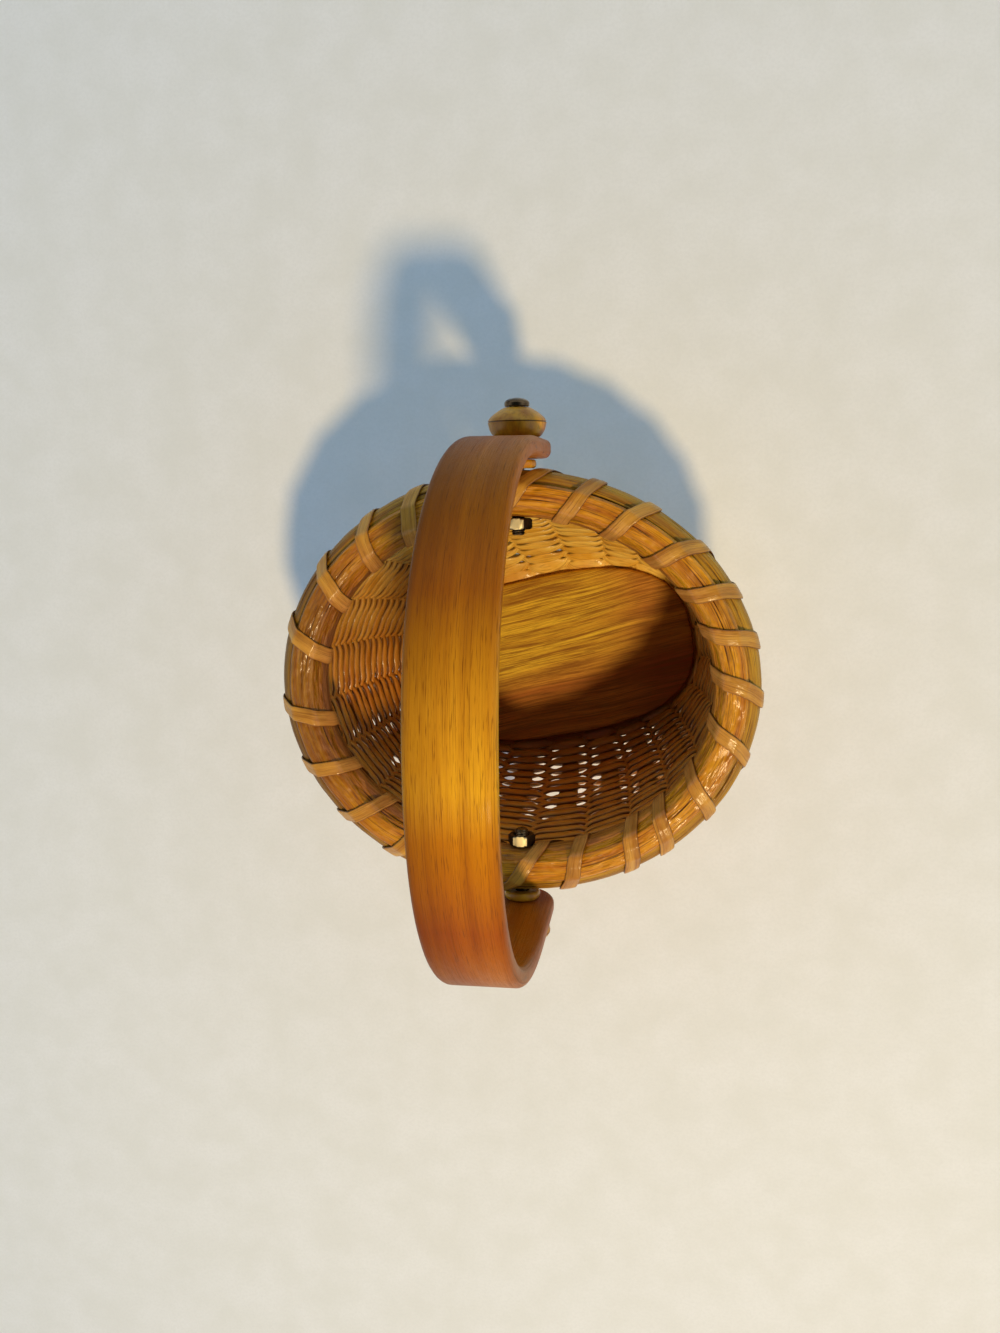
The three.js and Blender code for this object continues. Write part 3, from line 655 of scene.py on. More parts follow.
def climb_table():
    """Rises at even steps of the way up each line of the wall, and the lengths."""
    fine = np.linspace(0, 1, CLIMB_SAMPLES)
    rises, lengths = [], []
    for share in np.arange(CLIMB_LINES) / CLIMB_LINES:
        length = way_along(wall_point(np.full(CLIMB_SAMPLES, share), fine))
        rises.append(np.interp(np.linspace(0, length[-1], CLIMB_STEPS + 1), length, fine))
        lengths.append(length[-1])
    return np.array(rises), np.array(lengths)


CLIMB_RISES, CLIMB_LENGTHS = climb_table()


def climb_at(share, part):
    """Rise at a part of the way up the wall, and the length of that way."""
    column = np.mod(share, 1) * CLIMB_LINES
    left = np.floor(column).astype(int) % CLIMB_LINES
    lines = np.array([left, (left + 1) % CLIMB_LINES])
    t = column - np.floor(column)
    shares = np.array([1 - t, t])
    step = clamped(part) * CLIMB_STEPS
    low = np.minimum(np.floor(step).astype(int), CLIMB_STEPS - 1)
    u = step - low
    rises = CLIMB_RISES[lines, low] * (1 - u) + CLIMB_RISES[lines, low + 1] * u
    return np.sum(rises * shares, 0), np.sum(CLIMB_LENGTHS[lines] * shares, 0)


def looseness(places, noise):
    """How loose the weaving is: most half way up the front, and some left of it."""
    x, y, z = places.T
    front = ramped(-y / RIM_WIDTH, 0.25, 0.35) * window(z, 34, 20)
    left = ramped(-x, 30, 12) * window(y, -20, 18)
    return np.maximum(front, 0.55 * left * window(z, 48, 22)) * clamped(0.52 + noise)


def painted_shade(places):
    """Painted shade inside the cane, low down at the front and on the left."""
    x, y, z = places.T
    low_front = ramped(-y / RIM_WIDTH, 0.2, 0.25) * ramped(-z, -34, 22)
    left_front = ramped(-x, 20, 15) * ramped(-y, 5, 20)
    return np.maximum(0.46 * low_front, 0.34 * left_front)


def edge_grooves(across):
    """Groove values that mark both edges of a strip from -1 to 1, partly as dirt and partly as
    painted contact shade between strips.
    """
    return clamped((np.abs(across) - 0.86) / 0.14) * 0.7


def weave():
    # n counts staves along the cane
    first, last = 2, (WEAVE_ROWS + 1) * TURNS - 2
    crossings = last - first
    count = crossings * WEAVE_STEPS + 1
    n = first + np.arange(count) / WEAVE_STEPS
    knots = np.arange(0, last + 3)
    distances = STAVE_AT[knots % TURNS] + (knots // TURNS) * rim_loop.total
    share = rim_share(np.interp(n, knots, distances))

    # Lower and upper edge of the cane's place, counted in rows
    low = np.clip(n / TURNS - 1, 0, WEAVE_ROWS)
    high = np.clip(n / TURNS, 0, WEAVE_ROWS)
    drift = 0.14 * smooth_noise(count, crossings // 3, 5) + 0.08 * smooth_noise(count, crossings, 6)
    ease = clamped(np.minimum(n - TURNS, last - TURNS - n) / TURNS)
    rise, climb = climb_at(share, ((low + high) / 2 + drift * ease) / WEAVE_ROWS)
    pitch = climb / WEAVE_ROWS
    places, _, out = wall_frame(share, rise)

    # wave is 1 outside a stave, -1 inside the next and 0 midway. A firm row
    # bends sharply round the staves, and a loose one swings evenly
    wave = np.cos(np.pi * n)
    loose = looseness(places, smooth_noise(count, crossings * 2 // 3, 10))
    swing = WEAVE_SWING * (1 + 0.05 * smooth_noise(count, crossings // 2, 7) - 0.3 * loose)
    swing *= 0.3 + 0.7 * clamped(high / 4)
    firm_wave = np.tanh(WEAVE_FIRMNESS * wave) / math.tanh(WEAVE_FIRMNESS)
    offset = swing * (firm_wave * (1 - loose) + wave * loose)
    offset -= WEDGE_INWARD * clamped(1.9 - high / 1.5)
    places = places + out * offset[:, None]
    tangent = unit(np.gradient(places, axis=0))
    out = unit(out - tangent * np.sum(out * tangent, -1, keepdims=True))
    side = np.cross(tangent, out)

    # Between the staves each row fills its own place; over a stave it spreads.
    # The first rows are wider, and a loose row is thin beside the staves
    back = ramped(places[:, 1] / RIM_WIDTH, 0.1, 0.4)
    spread = 1 + (WEAVE_OVERLAP + 0.4 * back) * clamped((np.abs(wave) - 0.35) / 0.65) ** 1.2
    beside = np.exp(-((np.abs(wave) - 0.6) / 0.3) ** 2)
    full = 1.06 + 0.16 * clamped(1 - high / 9) + 0.5 * clamped(1.3 - high / 3)
    full += 1.3 * clamped(1 - high) + 0.12 * back
    width = (high - low) * (full * spread + 0.08 * smooth_noise(count, crossings // 4, 8)
                            - 1.15 * loose * beside)
    half_up = pitch / 2 * np.maximum(width, THINNEST_ROW * (high - low))
    half_out = (WEAVE_DEPTH / 2 * (1 + 0.05 * smooth_noise(count, crossings // 5, 9))
                * np.clip((high - low) * 1.6, 0.25, 1) * (1 - 0.68 * loose * beside))
    across, through = strip_section(WEAVE_SIDES, 2.0, 2.0, 0.6)

    # The grain's second axis climbs with the rows, and its third one runs from
    # the front of the basket to the back
    climbing = (across + 0.4 * through) * 1.4 + places[:, 2:3] * 3
    backward = places[:, 1:2] + 0.35 * places[:, 0:1]
    # Painted shade low inside the weaving, and dark row edges that are partly dirt and partly
    # painted contact shade
    groove = np.maximum(edge_grooves(across), painted_shade(places)[:, None] * clamped(0.4 - through))
    strand("weaving_cane", places, side, out, half_up[:, None] * across,
           half_out[:, None] * through, (climbing, backward), weave_material, "cane_weave",
           "woven_wall", groove=groove, sharp=80)


weave()


# Rim hoops. Each is a closed band whose section is measured in millimetres
# along its outline, with lengthwise grooves and splits cut into it
RIM_RINGS = 540
BAND_INSET = 0.06
RIPPLE = 0.056
ring_angle = np.arange(RIM_RINGS) / RIM_RINGS
ring_distance = ring_angle * rim_loop.total


def wrapped(distance, centre):
    """Signed distance round the rim from a centre."""
    half = rim_loop.total / 2
    return (distance - centre + half) % rim_loop.total - half


def band(name, section, fixed, splits, seed, material, slot, node, shift=None):
    """section is a closed outline of (offset, height). fixed and splits are
    grooves: (place along the outline, width, depth) and (centre, length,
    place, width, depth). shift moves the whole section by the distance."""
    place = way_along(section)
    ahead = np.roll(section, -1, axis=0) - np.roll(section, 1, axis=0)
    normal = unit(np.stack([ahead[:, 1], -ahead[:, 0]], -1))
    if np.sum((section - section.mean(0)) * normal) < 0:
        normal = -normal
    cuts = []
    for k, (where, width, deep) in enumerate(fixed):
        line = where + 0.35 * smooth_noise(RIM_RINGS, 17, seed + k)
        strength = 0.65 + 0.35 * smooth_noise(RIM_RINGS, 29, seed + 40 + k)
        cuts.append((line, np.full(RIM_RINGS, width), strength, deep))
    for centre, length, where, width, deep in splits:
        away = wrapped(ring_distance, centre)
        opened = clamped(1 - (away / (length / 2)) ** 2) ** 0.6
        cuts.append((where + 0.012 * away, width * (0.35 + 0.65 * opened), opened, deep))
    groove = np.zeros((RIM_RINGS, len(section)))
    depth = np.zeros_like(groove)
    for line, width, strength, deep in cuts:
        cut = np.exp(-((place - line[:, None]) / width[:, None]) ** 2) * strength[:, None]
        depth += deep * cut
        groove = np.maximum(groove, cut)
    depth += BAND_INSET + RIPPLE * smooth_noise(RIM_RINGS, 90, seed + 80)[:, None]
    moved = section - normal * depth[..., None]
    if shift is not None:
        moved = moved + shift(ring_distance)[:, None, :]
    shares = rim_share(ring_distance)
    rings = np.empty((RIM_RINGS, len(section), 3))
    rings[..., :2] = (rim_loop.at(shares)[:, None, :]
                      + rim_loop.outward(shares)[:, None, :] * moved[..., 0:1])
    rings[..., 2] = RIM_LEVEL + moved[..., 1]
    grain = np.empty_like(rings)
    grain[..., 0] = RIM_LENGTH * np.cos(TAU * ring_angle)[:, None]
    grain[..., 1] = place[None, :] + seed * BAND_GRAIN_STEP
    grain[..., 2] = RIM_LENGTH * np.sin(TAU * ring_angle)[:, None]
    make_piece(name, rings, ring_faces(*rings.shape[:2], True), grain, material, slot, node,
               groove=groove, sharp=70)


def half_round(side, thickness, height, steps=56, flat_steps=6):
    angle = np.linspace(-math.pi / 2, math.pi / 2, steps)
    bulge = clamped(np.cos(angle)) ** HOOP_FULLNESS
    outline = np.stack([side * (HOOP_GAP + thickness * bulge), height / 2 * np.sin(angle)], -1)
    flat = np.linspace(height / 2, -height / 2, flat_steps + 2)[1:-1]
    return np.vstack([outline, np.stack([np.full(flat_steps, side * HOOP_GAP), flat], -1)])


def random_splits(count, low, high, seed, width=0.2, deep=0.7):
    draw = np.random.default_rng(seed)
    return [(draw.uniform(0, rim_loop.total), draw.uniform(9, 34), draw.uniform(low, high),
             width * draw.uniform(0.7, 1.4), deep * draw.uniform(0.5, 1.2)) for _ in range(count)]


outer_hoop, inner_hoop = (half_round(*hoop) for hoop in HOOPS)
band("outer_hoop_cane", outer_hoop, [(9.6, 0.14, 0.1)], random_splits(46, 5.0, 17.5, 3, 0.13, 0.55),
     OUTER_SEED, hoop_material, "hoop_wood", "rim_outer_hoop")
band("inner_hoop_cane", inner_hoop, [(9.0, 0.2, 0.1)], random_splits(10, 5.0, 15.5, 4),
     INNER_SEED, shade_tinted_inner_hoop_material, "hoop_wood", "rim_inner_hoop")


# Cane strip on top of the hoops, as tight as a string laid round them
FILLER_WIDTH = 7.0
FILLER_MIDDLE = -0.5
FILLER_TOP = 7.75
FILLER_LEFT = -6.05
FILLER_RIGHT = 3.0
FILLER_STEPS = 48
HULL_DIRECTIONS = 720


def rim_hull(reach):
    """Closed tight outline round the rim, clockwise from the middle of its
    inside, over the top: offsets and heights."""
    filler = [(FILLER_MIDDLE + share * FILLER_WIDTH / 2, FILLER_TOP - drop)
              for share, drop in ((1, 1.1), (-1, 1.1), (0.8, 0.3), (-0.8, 0.3), (0, 0))]
    hoops = (half_round(*hoop, 41, 0) for hoop in HOOPS)
    points = np.vstack([[(RIM_IN, 0), (RIM_OUT, 0)], *hoops, filler])
    angles = math.pi - np.arange(HULL_DIRECTIONS) / HULL_DIRECTIONS * TAU
    rays = np.stack([np.cos(angles), np.sin(angles)], -1)
    hull = points[np.argmax(points @ rays.T, axis=0)] + rays * reach
    return np.vstack([hull, hull[:1]])


def hoop_top(offset):
    """Height of the hoops' upper surface."""
    _, thickness, height = np.where(offset[:, None] > 0, *HOOPS).T
    share = clamped((np.abs(offset) - HOOP_GAP) / thickness) ** (1 / HOOP_FULLNESS)
    return height / 2 * np.sqrt(1 - share ** 2)


def filler_outline():
    hull = rim_hull(0.0)[:HULL_DIRECTIONS // 2 + 1]
    hull = hull[hull[:, 1] >= 0]
    turns = np.linspace(0, math.pi, FILLER_STEPS)
    across = FILLER_LEFT + (FILLER_RIGHT - FILLER_LEFT) * (1 - np.cos(turns)) / 2
    edge = np.minimum(across - FILLER_LEFT, FILLER_RIGHT - across)
    crown = np.interp(across, hull[:, 0], hull[:, 1]) - 0.1 - 0.35 * clamped(1 - edge / 0.8) ** 2
    bottom = np.minimum(hoop_top(across) + 0.12, crown - 0.1)
    top = np.stack([across, crown], -1)
    under = np.stack([across, bottom], -1)[-2:0:-4]
    return np.vstack([top, under])


def filler_shift(distance):
    """The filler pulls away from the inner hoop in three places."""
    out = np.zeros_like(distance)
    for centre, length, far in ((161, 26, 0.5), (146, 22, 0.4), (228, 24, 0.5)):
        out += far * clamped(1 - (wrapped(distance, centre) / (length / 2)) ** 2)
    return np.stack([out, np.zeros_like(out)], -1)


band("top_filler_cane", filler_outline(), [], random_splits(30, 1.5, 9.6, 6, 0.12, 0.5),
     FILLER_SEED, filler_material, "filler_cane", "rim_top_filler", filler_shift)


# Lashing: one cane strip wound round the rim, at the places of its turns in
# the photograph, as distances clockwise from the back pivot
LASH_WIDTH = 4.5
LASH_THICKNESS = 0.6
LASH_CROWN = 0.06
LASH_STEPS = 84
LASH_SIDES = 18
LASH_SEED = 23
LASH_BESIDE_PIVOT = 7.2
LASH_BEFORE_PIVOT = 7.1
LASH_END = 0.72
LASH_OUTSIDE = np.array([
    LASH_BESIDE_PIVOT, 21.3, 36.7, 52.4, 66.3, 79.4, 94.0, 109.7, 126.6, 141.5, 152.3, 170.3,
    RIGHT_SIDE + LASH_BESIDE_PIVOT, 202.5, 221.4, 237.7, 254.5, 271.8, 293.9, 312.6, 329.6,
    344.2, 360.3,
])
LASH_INSIDE = LASH_OUTSIDE - LASH_LEAD
LASH_INSIDE[0] = -LASH_BEFORE_PIVOT
LASH_INSIDE[RIGHT_TURNS] = RIGHT_SIDE - LASH_BEFORE_PIVOT


def gap_crossing(start, end):
    """Where the strip passes between two staves on its way from start to end."""
    total = rim_loop.total
    room = STAVE_HEAD_WIDTH / 2 + LASH_WIDTH / 2 + 0.4
    staves = np.r_[STAVE_AT - total, STAVE_AT, STAVE_AT + total]
    crossings = [min(max(0.5 * (start + end), low + room), high - room)
                 for low, high in zip(staves[:-1], staves[1:])]
    return min(crossings, key=lambda near: abs(near - start) + abs(end - near))


def lashing():
    hull = rim_hull(LASH_THICKNESS / 2 + 0.06)
    way = way_along(hull)
    at = np.arange(LASH_STEPS) / LASH_STEPS
    offsets, heights = (np.interp(at, way / way[-1], values) for values in hull.T)
    over = heights >= 0
    low, high = offsets.min(), offsets.max()
    share = (offsets - low) / (high - low)
    eased = share + 0.06 * np.sin(TAU * share)
    ahead, rise = (np.roll(values, -1) - np.roll(values, 1) for values in (offsets, heights))
    normal = unit(np.stack([-rise, ahead], -1))
    draw = np.random.default_rng(LASH_SEED)
    following = np.r_[LASH_INSIDE[1:], LASH_INSIDE[0] + rim_loop.total]
    places, facing, reaches = [], [], []
    for turn, (start, outside, end) in enumerate(zip(LASH_INSIDE, LASH_OUTSIDE, following)):
        crossing = gap_crossing(outside, end)
        beneath = np.where(
            offsets > 0,
            crossing + (outside - crossing) * clamped(offsets / high) ** 1.5,
            crossing + (end - crossing) * clamped(offsets / low) ** 1.5,
        )
        distance = np.where(over, start + (outside - start) * eased, beneath)
        tilt = draw.uniform(-0.7, 0.7)
        distance = distance + np.where(over, tilt * np.sin(np.pi * share) ** 2, 0)
        stop = LASH_STEPS if turn + 1 < TURNS else int(LASH_STEPS * LASH_END)
        shares = rim_share(distance[:stop])
        places.append(raised(rim_loop, shares, offsets[:stop], RIM_LEVEL + heights[:stop]))
        out = rim_loop.outward(shares)
        facing.append(np.concatenate([out * normal[:stop, :1], normal[:stop, 1:]], -1))
        reaches.append(offsets[:stop])
    places = np.vstack(places)
    forward = unit(np.gradient(places, axis=0))
    side = unit(np.cross(forward, np.vstack(facing)))
    face = unit(np.cross(side, forward))
    count = len(places)
    width = LASH_WIDTH * (1 + 0.08 * smooth_noise(count, TURNS * 3, 51))
    across, through = strip_section(LASH_SIDES, 1.0, 1.0)
    lift = through * LASH_THICKNESS + LASH_CROWN * (1 - (across * 2) ** 2)
    strand("lashing_strip", places, side, face, width[:, None] * across, lift,
           (across * LASH_WIDTH, np.concatenate(reaches)[:, None]), lash_material, "lashing_cane",
           # Dark edges on the strip: partly dirt, partly painted contact shade
           "rim_lashing", groove=np.tile(edge_grooves(across * 2), count), sharp=60)


lashing()


# Bentwood handle. Its stations are (place across the basket, height over the
# pivots, width), from the back ear over the arch to the front ear
STRAP_THICKNESS = 5.2
STRAP_OUTSIDE = 69.7
STRAP_EDGE = 1.9
EAR_WIDTH = 18.6
EAR_DROP = 10.0
EAR_STEPS = 18
CROWN_WIDTH = 19.6
LEG_HEIGHT = 25.0
LEG_STEPS = 12
ARCH_RISE = 83.0
ARCH_SQUARENESS = 2.25
ARCH_STEPS = 181
HANDLE_LEAN = math.radians(1.5)
HANDLE_STEP = 1.2
CORNER_STEPS = 6
FLAT_STEPS = 7


def strap_width(height):
    return EAR_WIDTH + (CROWN_WIDTH - EAR_WIDTH) * max(height, 0) / (LEG_HEIGHT + ARCH_RISE)


def strap_stations():
    radius = EAR_WIDTH / 2
    centre = radius - EAR_DROP
    half = [(STRAP_OUTSIDE, centre - radius * math.cos(angle), 2 * radius * math.sin(angle))
            for angle in np.linspace(math.radians(5), math.pi / 2, EAR_STEPS)]
    half += [(STRAP_OUTSIDE, z, strap_width(z))
             for z in np.linspace(centre, LEG_HEIGHT, LEG_STEPS)[1:-1]]
    arch = []
    power = 2 / ARCH_SQUARENESS
    for angle in np.linspace(0, math.pi, ARCH_STEPS):
        across = math.cos(angle)
        y = STRAP_OUTSIDE * math.copysign(abs(across) ** power, across)
        z = LEG_HEIGHT + ARCH_RISE * max(math.sin(angle), 0) ** power
        arch.append((y, z, strap_width(z)))
    other = [(-y, z, width) for y, z, width in reversed(half)]
    return np.array(half + arch + other)


def resampled(stations, step):
    """Even stations between the ears, whose own stations stay."""
    lengths = way_along(stations[:, :2])
    ear = lengths[:EAR_STEPS]
    total = lengths[-1]
    middle = np.arange(ear[-1], total - ear[-1] + step / 2, step)
    wanted = np.unique(np.round(np.r_[ear, middle, total - ear], 5))
    return wanted, np.stack([np.interp(wanted, lengths, values) for values in stations.T], -1)


def smoothed(directions, reach=2):
    """Directions averaged over their neighbours on both sides."""
    kernel = np.ones(2 * reach + 1) / (2 * reach + 1)
    padded = np.pad(directions, ((reach, reach), (0, 0)), "edge")
    return unit(np.stack([np.convolve(padded[:, k], kernel, "valid") for k in (0, 1)], -1))


def flat_row(a, b):
    share = np.linspace(0, 1, FLAT_STEPS + 2)[1:-1, None]
    return a + (b - a) * share


def strap_section(width):
    """Outline with rounded edges, as (across, depth from the outer face)."""
    half = width / 2
    edge = min(STRAP_EDGE, half * 0.9)
    far = STRAP_THICKNESS - edge
    corners = []
    for across, depth, start in ((half - edge, edge, -90), (half - edge, far, 0),
                                 (-half + edge, far, 90), (-half + edge, edge, 180)):
        turns = [math.radians(start + 90 * k / CORNER_STEPS) for k in range(CORNER_STEPS + 1)]
        corners.append(np.array([(across + edge * math.cos(turn), depth + edge * math.sin(turn))
                                 for turn in turns]))
    return np.vstack([*corners[:2], flat_row(corners[1][-1], corners[2][0]),
                      *corners[2:], flat_row(corners[3][-1], corners[0][0])])


def handle():
    lengths, stations = resampled(strap_stations(), HANDLE_STEP)
    along = smoothed(unit(np.gradient(stations[:, :2], axis=0)))
    inward = np.stack([-along[:, 1], along[:, 0]], -1)
    sections = np.array([strap_section(width) for width in stations[:, 2]])
    across, depth = sections[..., 0], sections[..., 1]
    y = stations[:, :1] + inward[:, :1] * depth
    z = stations[:, 1:2] + inward[:, 1:] * depth
    c, s = math.cos(HANDLE_LEAN), math.sin(HANDLE_LEAN)
    rings = np.stack([across * c + z * s + PIVOT_X, y, -across * s + z * c + RIM_LEVEL], -1)
    grain = np.stack([np.broadcast_to(lengths[:, None], across.shape), across, depth * 4], -1)
    make_piece("handle_strap", rings, ring_faces(*rings.shape[:2], False), grain, handle_material,
               "bentwood", "handle", sharp=50, body="handle")


handle()


# Pivot hardware: shapes turned about the pivot axis, as outlines of (radius,
# place along the axis) from the middle of the basket outward
BOLT_RADIUS = 1.95
BORE = BOLT_RADIUS + SEAT
TAIL_END = 43.1
NUT_FACE = 47.9
NUT_THICKNESS = 3.2
NUT_FLAT = NUT_ACROSS_FLATS / 2
WASHER_FACE = 61.8
WASHER_THICKNESS = 2.4
KNOB_FACE = 70.0
KNOB_LENGTH = 8.5
KNOB_GROOVE = 4.58
KNOB_GROOVE_WIDTH = 0.16
KNOB_LOWER = ((5.2, 0), (6.6, 0.7), (7.7, 2.3), (8.25, 4.35))
KNOB_GROOVE_FLOOR = ((8.06, 4.5), (8.06, 4.66))
KNOB_UPPER = ((8.22, 4.8), (7.75, 5.6), (6.7, 6.6), (5.3, 7.6), (4.1, 8.3), (3.7, 8.5))
HEAD_FACE = 78.8
HEAD_RADIUS = 3.5
HEAD_SIDE = 0.9
HEAD_DOME = 1.5
SLOT_HALF_WIDTH = 0.5
SLOT_DEPTH = 1.0
SLOT_REACH = 1.45
SLOT_TURN = 0.5
THREAD_PITCH = 0.7
THREAD_DEPTH = 0.28
THREAD_STEP = 0.07
BOLT_SIDES = 96


def turned(name, profile, end, material, slot, node, sides=72, shape=None, sharp=35,
           groove_at=None, highlight_above=None):
    """The last argument is the height over the axis from which the surface is marked
    for a painted highlight. shape changes the radii and places by the angle round the axis."""
    angle = np.arange(sides) / sides * TAU
    radius, place = (np.repeat(column[:, None], sides, 1) for column in np.transpose(profile))
    faces = ring_faces(*radius.shape, radius[0, 0] > 0)
    if shape is not None:
        radius, place = shape(radius, place, angle)
    across, up = radius * np.cos(angle), radius * np.sin(angle)
    sign, grain_shift = (1, 20) if end == "back" else (-1, 90)
    points = np.stack([PIVOT_X + sign * across, sign * place, RIM_LEVEL + up], -1)
    grain = np.stack([across + 40, up + grain_shift, place], -1)
    line = np.zeros_like(radius)
    if groove_at is not None:
        line = np.exp(-((place - groove_at) / KNOB_GROOVE_WIDTH) ** 2)
    # The top flat is marked for a painted highlight
    if highlight_above is not None:
        line = up > highlight_above
    make_piece(name, points, faces, grain, material, slot, node, groove=line, sharp=sharp)


def curve_through(points, count=6):
    """A smooth line through points."""
    points = np.array(points)
    padded = np.vstack([2 * points[0] - points[1], points, 2 * points[-1] - points[-2]])
    steps = np.linspace(0, 1, count, endpoint=False)
    out = [spline(t, *padded[i: i + 4]) for i in range(len(points) - 1) for t in steps]
    return [*out, points[-1]]


def knob(end):
    profile = np.array([(BORE, 0), *curve_through(KNOB_LOWER), *KNOB_GROOVE_FLOOR,
                        *curve_through(KNOB_UPPER), (BORE, KNOB_LENGTH)]) + (0, KNOB_FACE)
    turned(f"knob_{end}", profile, end, bone_finish, "bone", f"outer_knob_{end}", sharp=50,
           groove_at=KNOB_FACE + KNOB_GROOVE)


def washer(end):
    half = WASHER_THICKNESS / 2
    far = WASHER_FACE + WASHER_THICKNESS
    bulge = [(WASHER_FLAT_RADIUS + WASHER_BULGE * math.sin(turn),
              WASHER_FACE + half - half * math.cos(turn)) for turn in np.linspace(0, math.pi, 9)]
    profile = [(BORE, WASHER_FACE), (WASHER_FLAT_RADIUS, WASHER_FACE), *bulge,
               (WASHER_FLAT_RADIUS, far), (BORE, far)]
    turned(f"washer_{end}", profile, end, bone_finish, "bone", f"inner_washer_{end}", sharp=50)


def threads_and_slot(radius, place, angle):
    """Threads on the bolt's tail, and the slot across its head."""
    top = HEAD_FACE + (HEAD_SIDE + HEAD_DOME)
    threaded = (place > TAIL_END + 0.32) & (place < NUT_FACE + 0.9)
    wave = np.abs(((place / THREAD_PITCH + angle / TAU) % 1.0) * 2 - 1)
    radius = np.where(threaded, radius - THREAD_DEPTH * wave, radius)
    across = np.abs(radius * np.sin(angle + SLOT_TURN))
    in_slot = (across < SLOT_HALF_WIDTH) & (place > top - SLOT_REACH)
    return radius, np.where(in_slot, np.minimum(place, top - SLOT_DEPTH), place)


def bolt(end):
    profile = [(0.0, TAIL_END), (1.3, TAIL_END), (1.62, TAIL_END + 0.12), (1.7, TAIL_END + 0.3)]
    profile += [(BOLT_RADIUS, place)
                for place in np.arange(TAIL_END + 0.35, NUT_FACE + 1.0, THREAD_STEP)]
    profile += [(BOLT_RADIUS, HEAD_FACE), (3.3, HEAD_FACE), (HEAD_RADIUS, HEAD_FACE + 0.2)]
    profile += [(HEAD_RADIUS * math.cos(a), HEAD_FACE + HEAD_SIDE + HEAD_DOME * math.sin(a))
                for a in np.linspace(0, math.pi / 2, 22)]
    turned(f"bolt_{end}", profile, end, bolt_finish, "steel", f"pivot_bolt_{end}",
           shape=threads_and_slot, sides=BOLT_SIDES)


def hexagon(radius, place, angle):
    """Six flats on what is wider than the nut's chamfered face."""
    turn = (angle % (TAU / 6)) - TAU / 12
    flat = np.minimum(radius, NUT_FLAT / np.cos(turn))
    return np.where(radius > NUT_FLAT + 0.05, flat, np.minimum(radius, NUT_FLAT - 0.05)), place


def nut(end):
    near = NUT_FACE - NUT_THICKNESS
    half = [(BORE, 0.35), (BORE + 0.35, 0), (3.0, 0), (3.45, 0), (3.6, 0.12), (4.05, 0.5)]
    profile = [(radius, near + step) for radius, step in half]
    profile += [(radius, NUT_FACE - step) for radius, step in reversed(half)]
    turned(f"nut_{end}", profile, end, nut_finish, "steel", f"hex_nut_{end}", shape=hexagon,
           sides=BOLT_SIDES, sharp=25, highlight_above=NUT_FLAT - 0.03)


for end in ("back", "front"):
    knob(end)
    washer(end)
    bolt(end)
    nut(end)


# Floor, world and lamp, in metres
FLOOR_HALF = 3.0
FLOOR_LEVEL = -0.0002


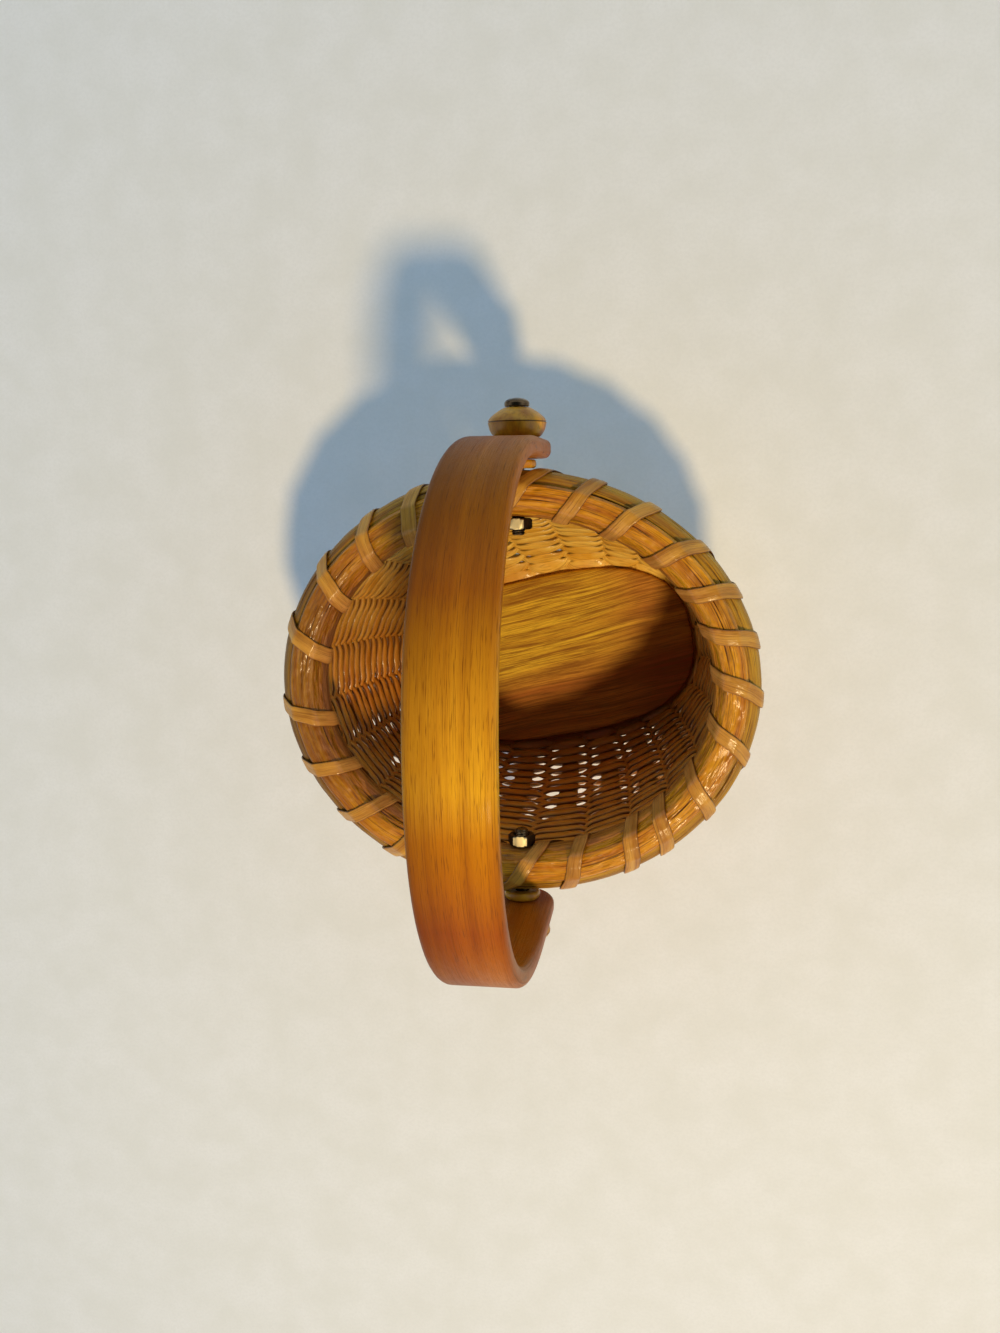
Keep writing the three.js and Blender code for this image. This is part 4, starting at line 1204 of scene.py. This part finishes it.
def stage_floor():
    s = Shader("floor_paper")
    place = s.put("ShaderNodeTexCoord").outputs["Object"]
    cloud = s.noise(place, scale=60.0, detail=4.0)
    fibre = s.noise(place, scale=900.0, detail=2.0)
    colour = s.mix(s.ramp(cloud, 0.35, 0.65), srgb(233, 228, 218), srgb(228, 223, 211))
    away = s.put("ShaderNodeVectorMath", {0: place}, operation="LENGTH").outputs["Value"]
    colour = s.mix(s.ramp(away, 0.45, 1.4), colour, srgb(250, 212, 176))
    s.surface({
        "Base Color": s.tinted(colour, fibre, 0.4, 0.7, 0.35, (222, 217, 206)),
        "Roughness": 0.85,
        "Specular IOR Level": 0.2,
        "Normal": s.bump(fibre, 0.15, 0.0002),
    })
    corners = ((-1, -1), (1, -1), (1, 1), (-1, 1))
    mesh = bpy.data.meshes.new("floor")
    mesh.from_pydata([(x * FLOOR_HALF, y * FLOOR_HALF, FLOOR_LEVEL) for x, y in corners], [],
                     [(0, 1, 2, 3)])
    mesh.materials.append(s.material)
    floor = bpy.data.objects.new("floor", mesh)
    bpy.context.scene.collection.objects.link(floor)


stage_floor()

AMBIENT = 1.62
AMBIENT_COLOUR = (0.47, 0.70, 1.0, 1.0)
BACKDROP = 0.86
BACKDROP_COLOUR = (1.0, 0.99, 0.97, 1.0)
OVERHEAD = 0.02


def studio_world():
    """Cool light from all round that is darker overhead, where the photographer
    stands, with a pale backdrop for what looks straight at it."""
    world = bpy.data.worlds.new("studio")
    bpy.context.scene.world = world
    world.use_nodes = True
    w = Nodes(world.node_tree)
    place = w.put("ShaderNodeTexCoord").outputs["Generated"]
    height = w.put("ShaderNodeSeparateXYZ", {0: place}).outputs["Z"]
    level = w.ramp(height, 0.35, 0.9, 1.0, OVERHEAD, interpolation_type="SMOOTHSTEP")
    ambient = w.put("ShaderNodeBackground", {
        "Color": AMBIENT_COLOUR, "Strength": w.math("MULTIPLY", level, AMBIENT),
    })
    backdrop = w.put("ShaderNodeBackground", {
        "Color": BACKDROP_COLOUR, "Strength": w.math("MULTIPLY", level, BACKDROP),
    })
    rays = w.put("ShaderNodeLightPath").outputs
    seen = w.math("MAXIMUM", rays["Is Camera Ray"], rays["Is Glossy Ray"])
    seen = w.math("MAXIMUM", seen, rays["Is Transmission Ray"])
    blend = w.put("ShaderNodeMixShader", {0: seen, 1: ambient.outputs[0], 2: backdrop.outputs[0]})
    w.put("ShaderNodeOutputWorld", {"Surface": blend.outputs[0]})


studio_world()


# A small warm lamp that makes the photograph's shadow
KEY_PLACE = Vector((0.233, -0.352, 0.95))
KEY_TARGET = Vector((0, 0, 0.06))
key_data = bpy.data.lights.new("key", "AREA")
key_data.shape = "DISK"
key_data.size = 0.085
key_data.energy = 7.4
key_data.color = (1.0, 0.76, 0.40)
key = bpy.data.objects.new("key", key_data)
key.location = KEY_PLACE
key.rotation_euler = (KEY_PLACE - KEY_TARGET).to_track_quat("Z", "Y").to_euler()
bpy.context.scene.collection.objects.link(key)

bpy.context.scene.view_settings.view_transform = "Standard"
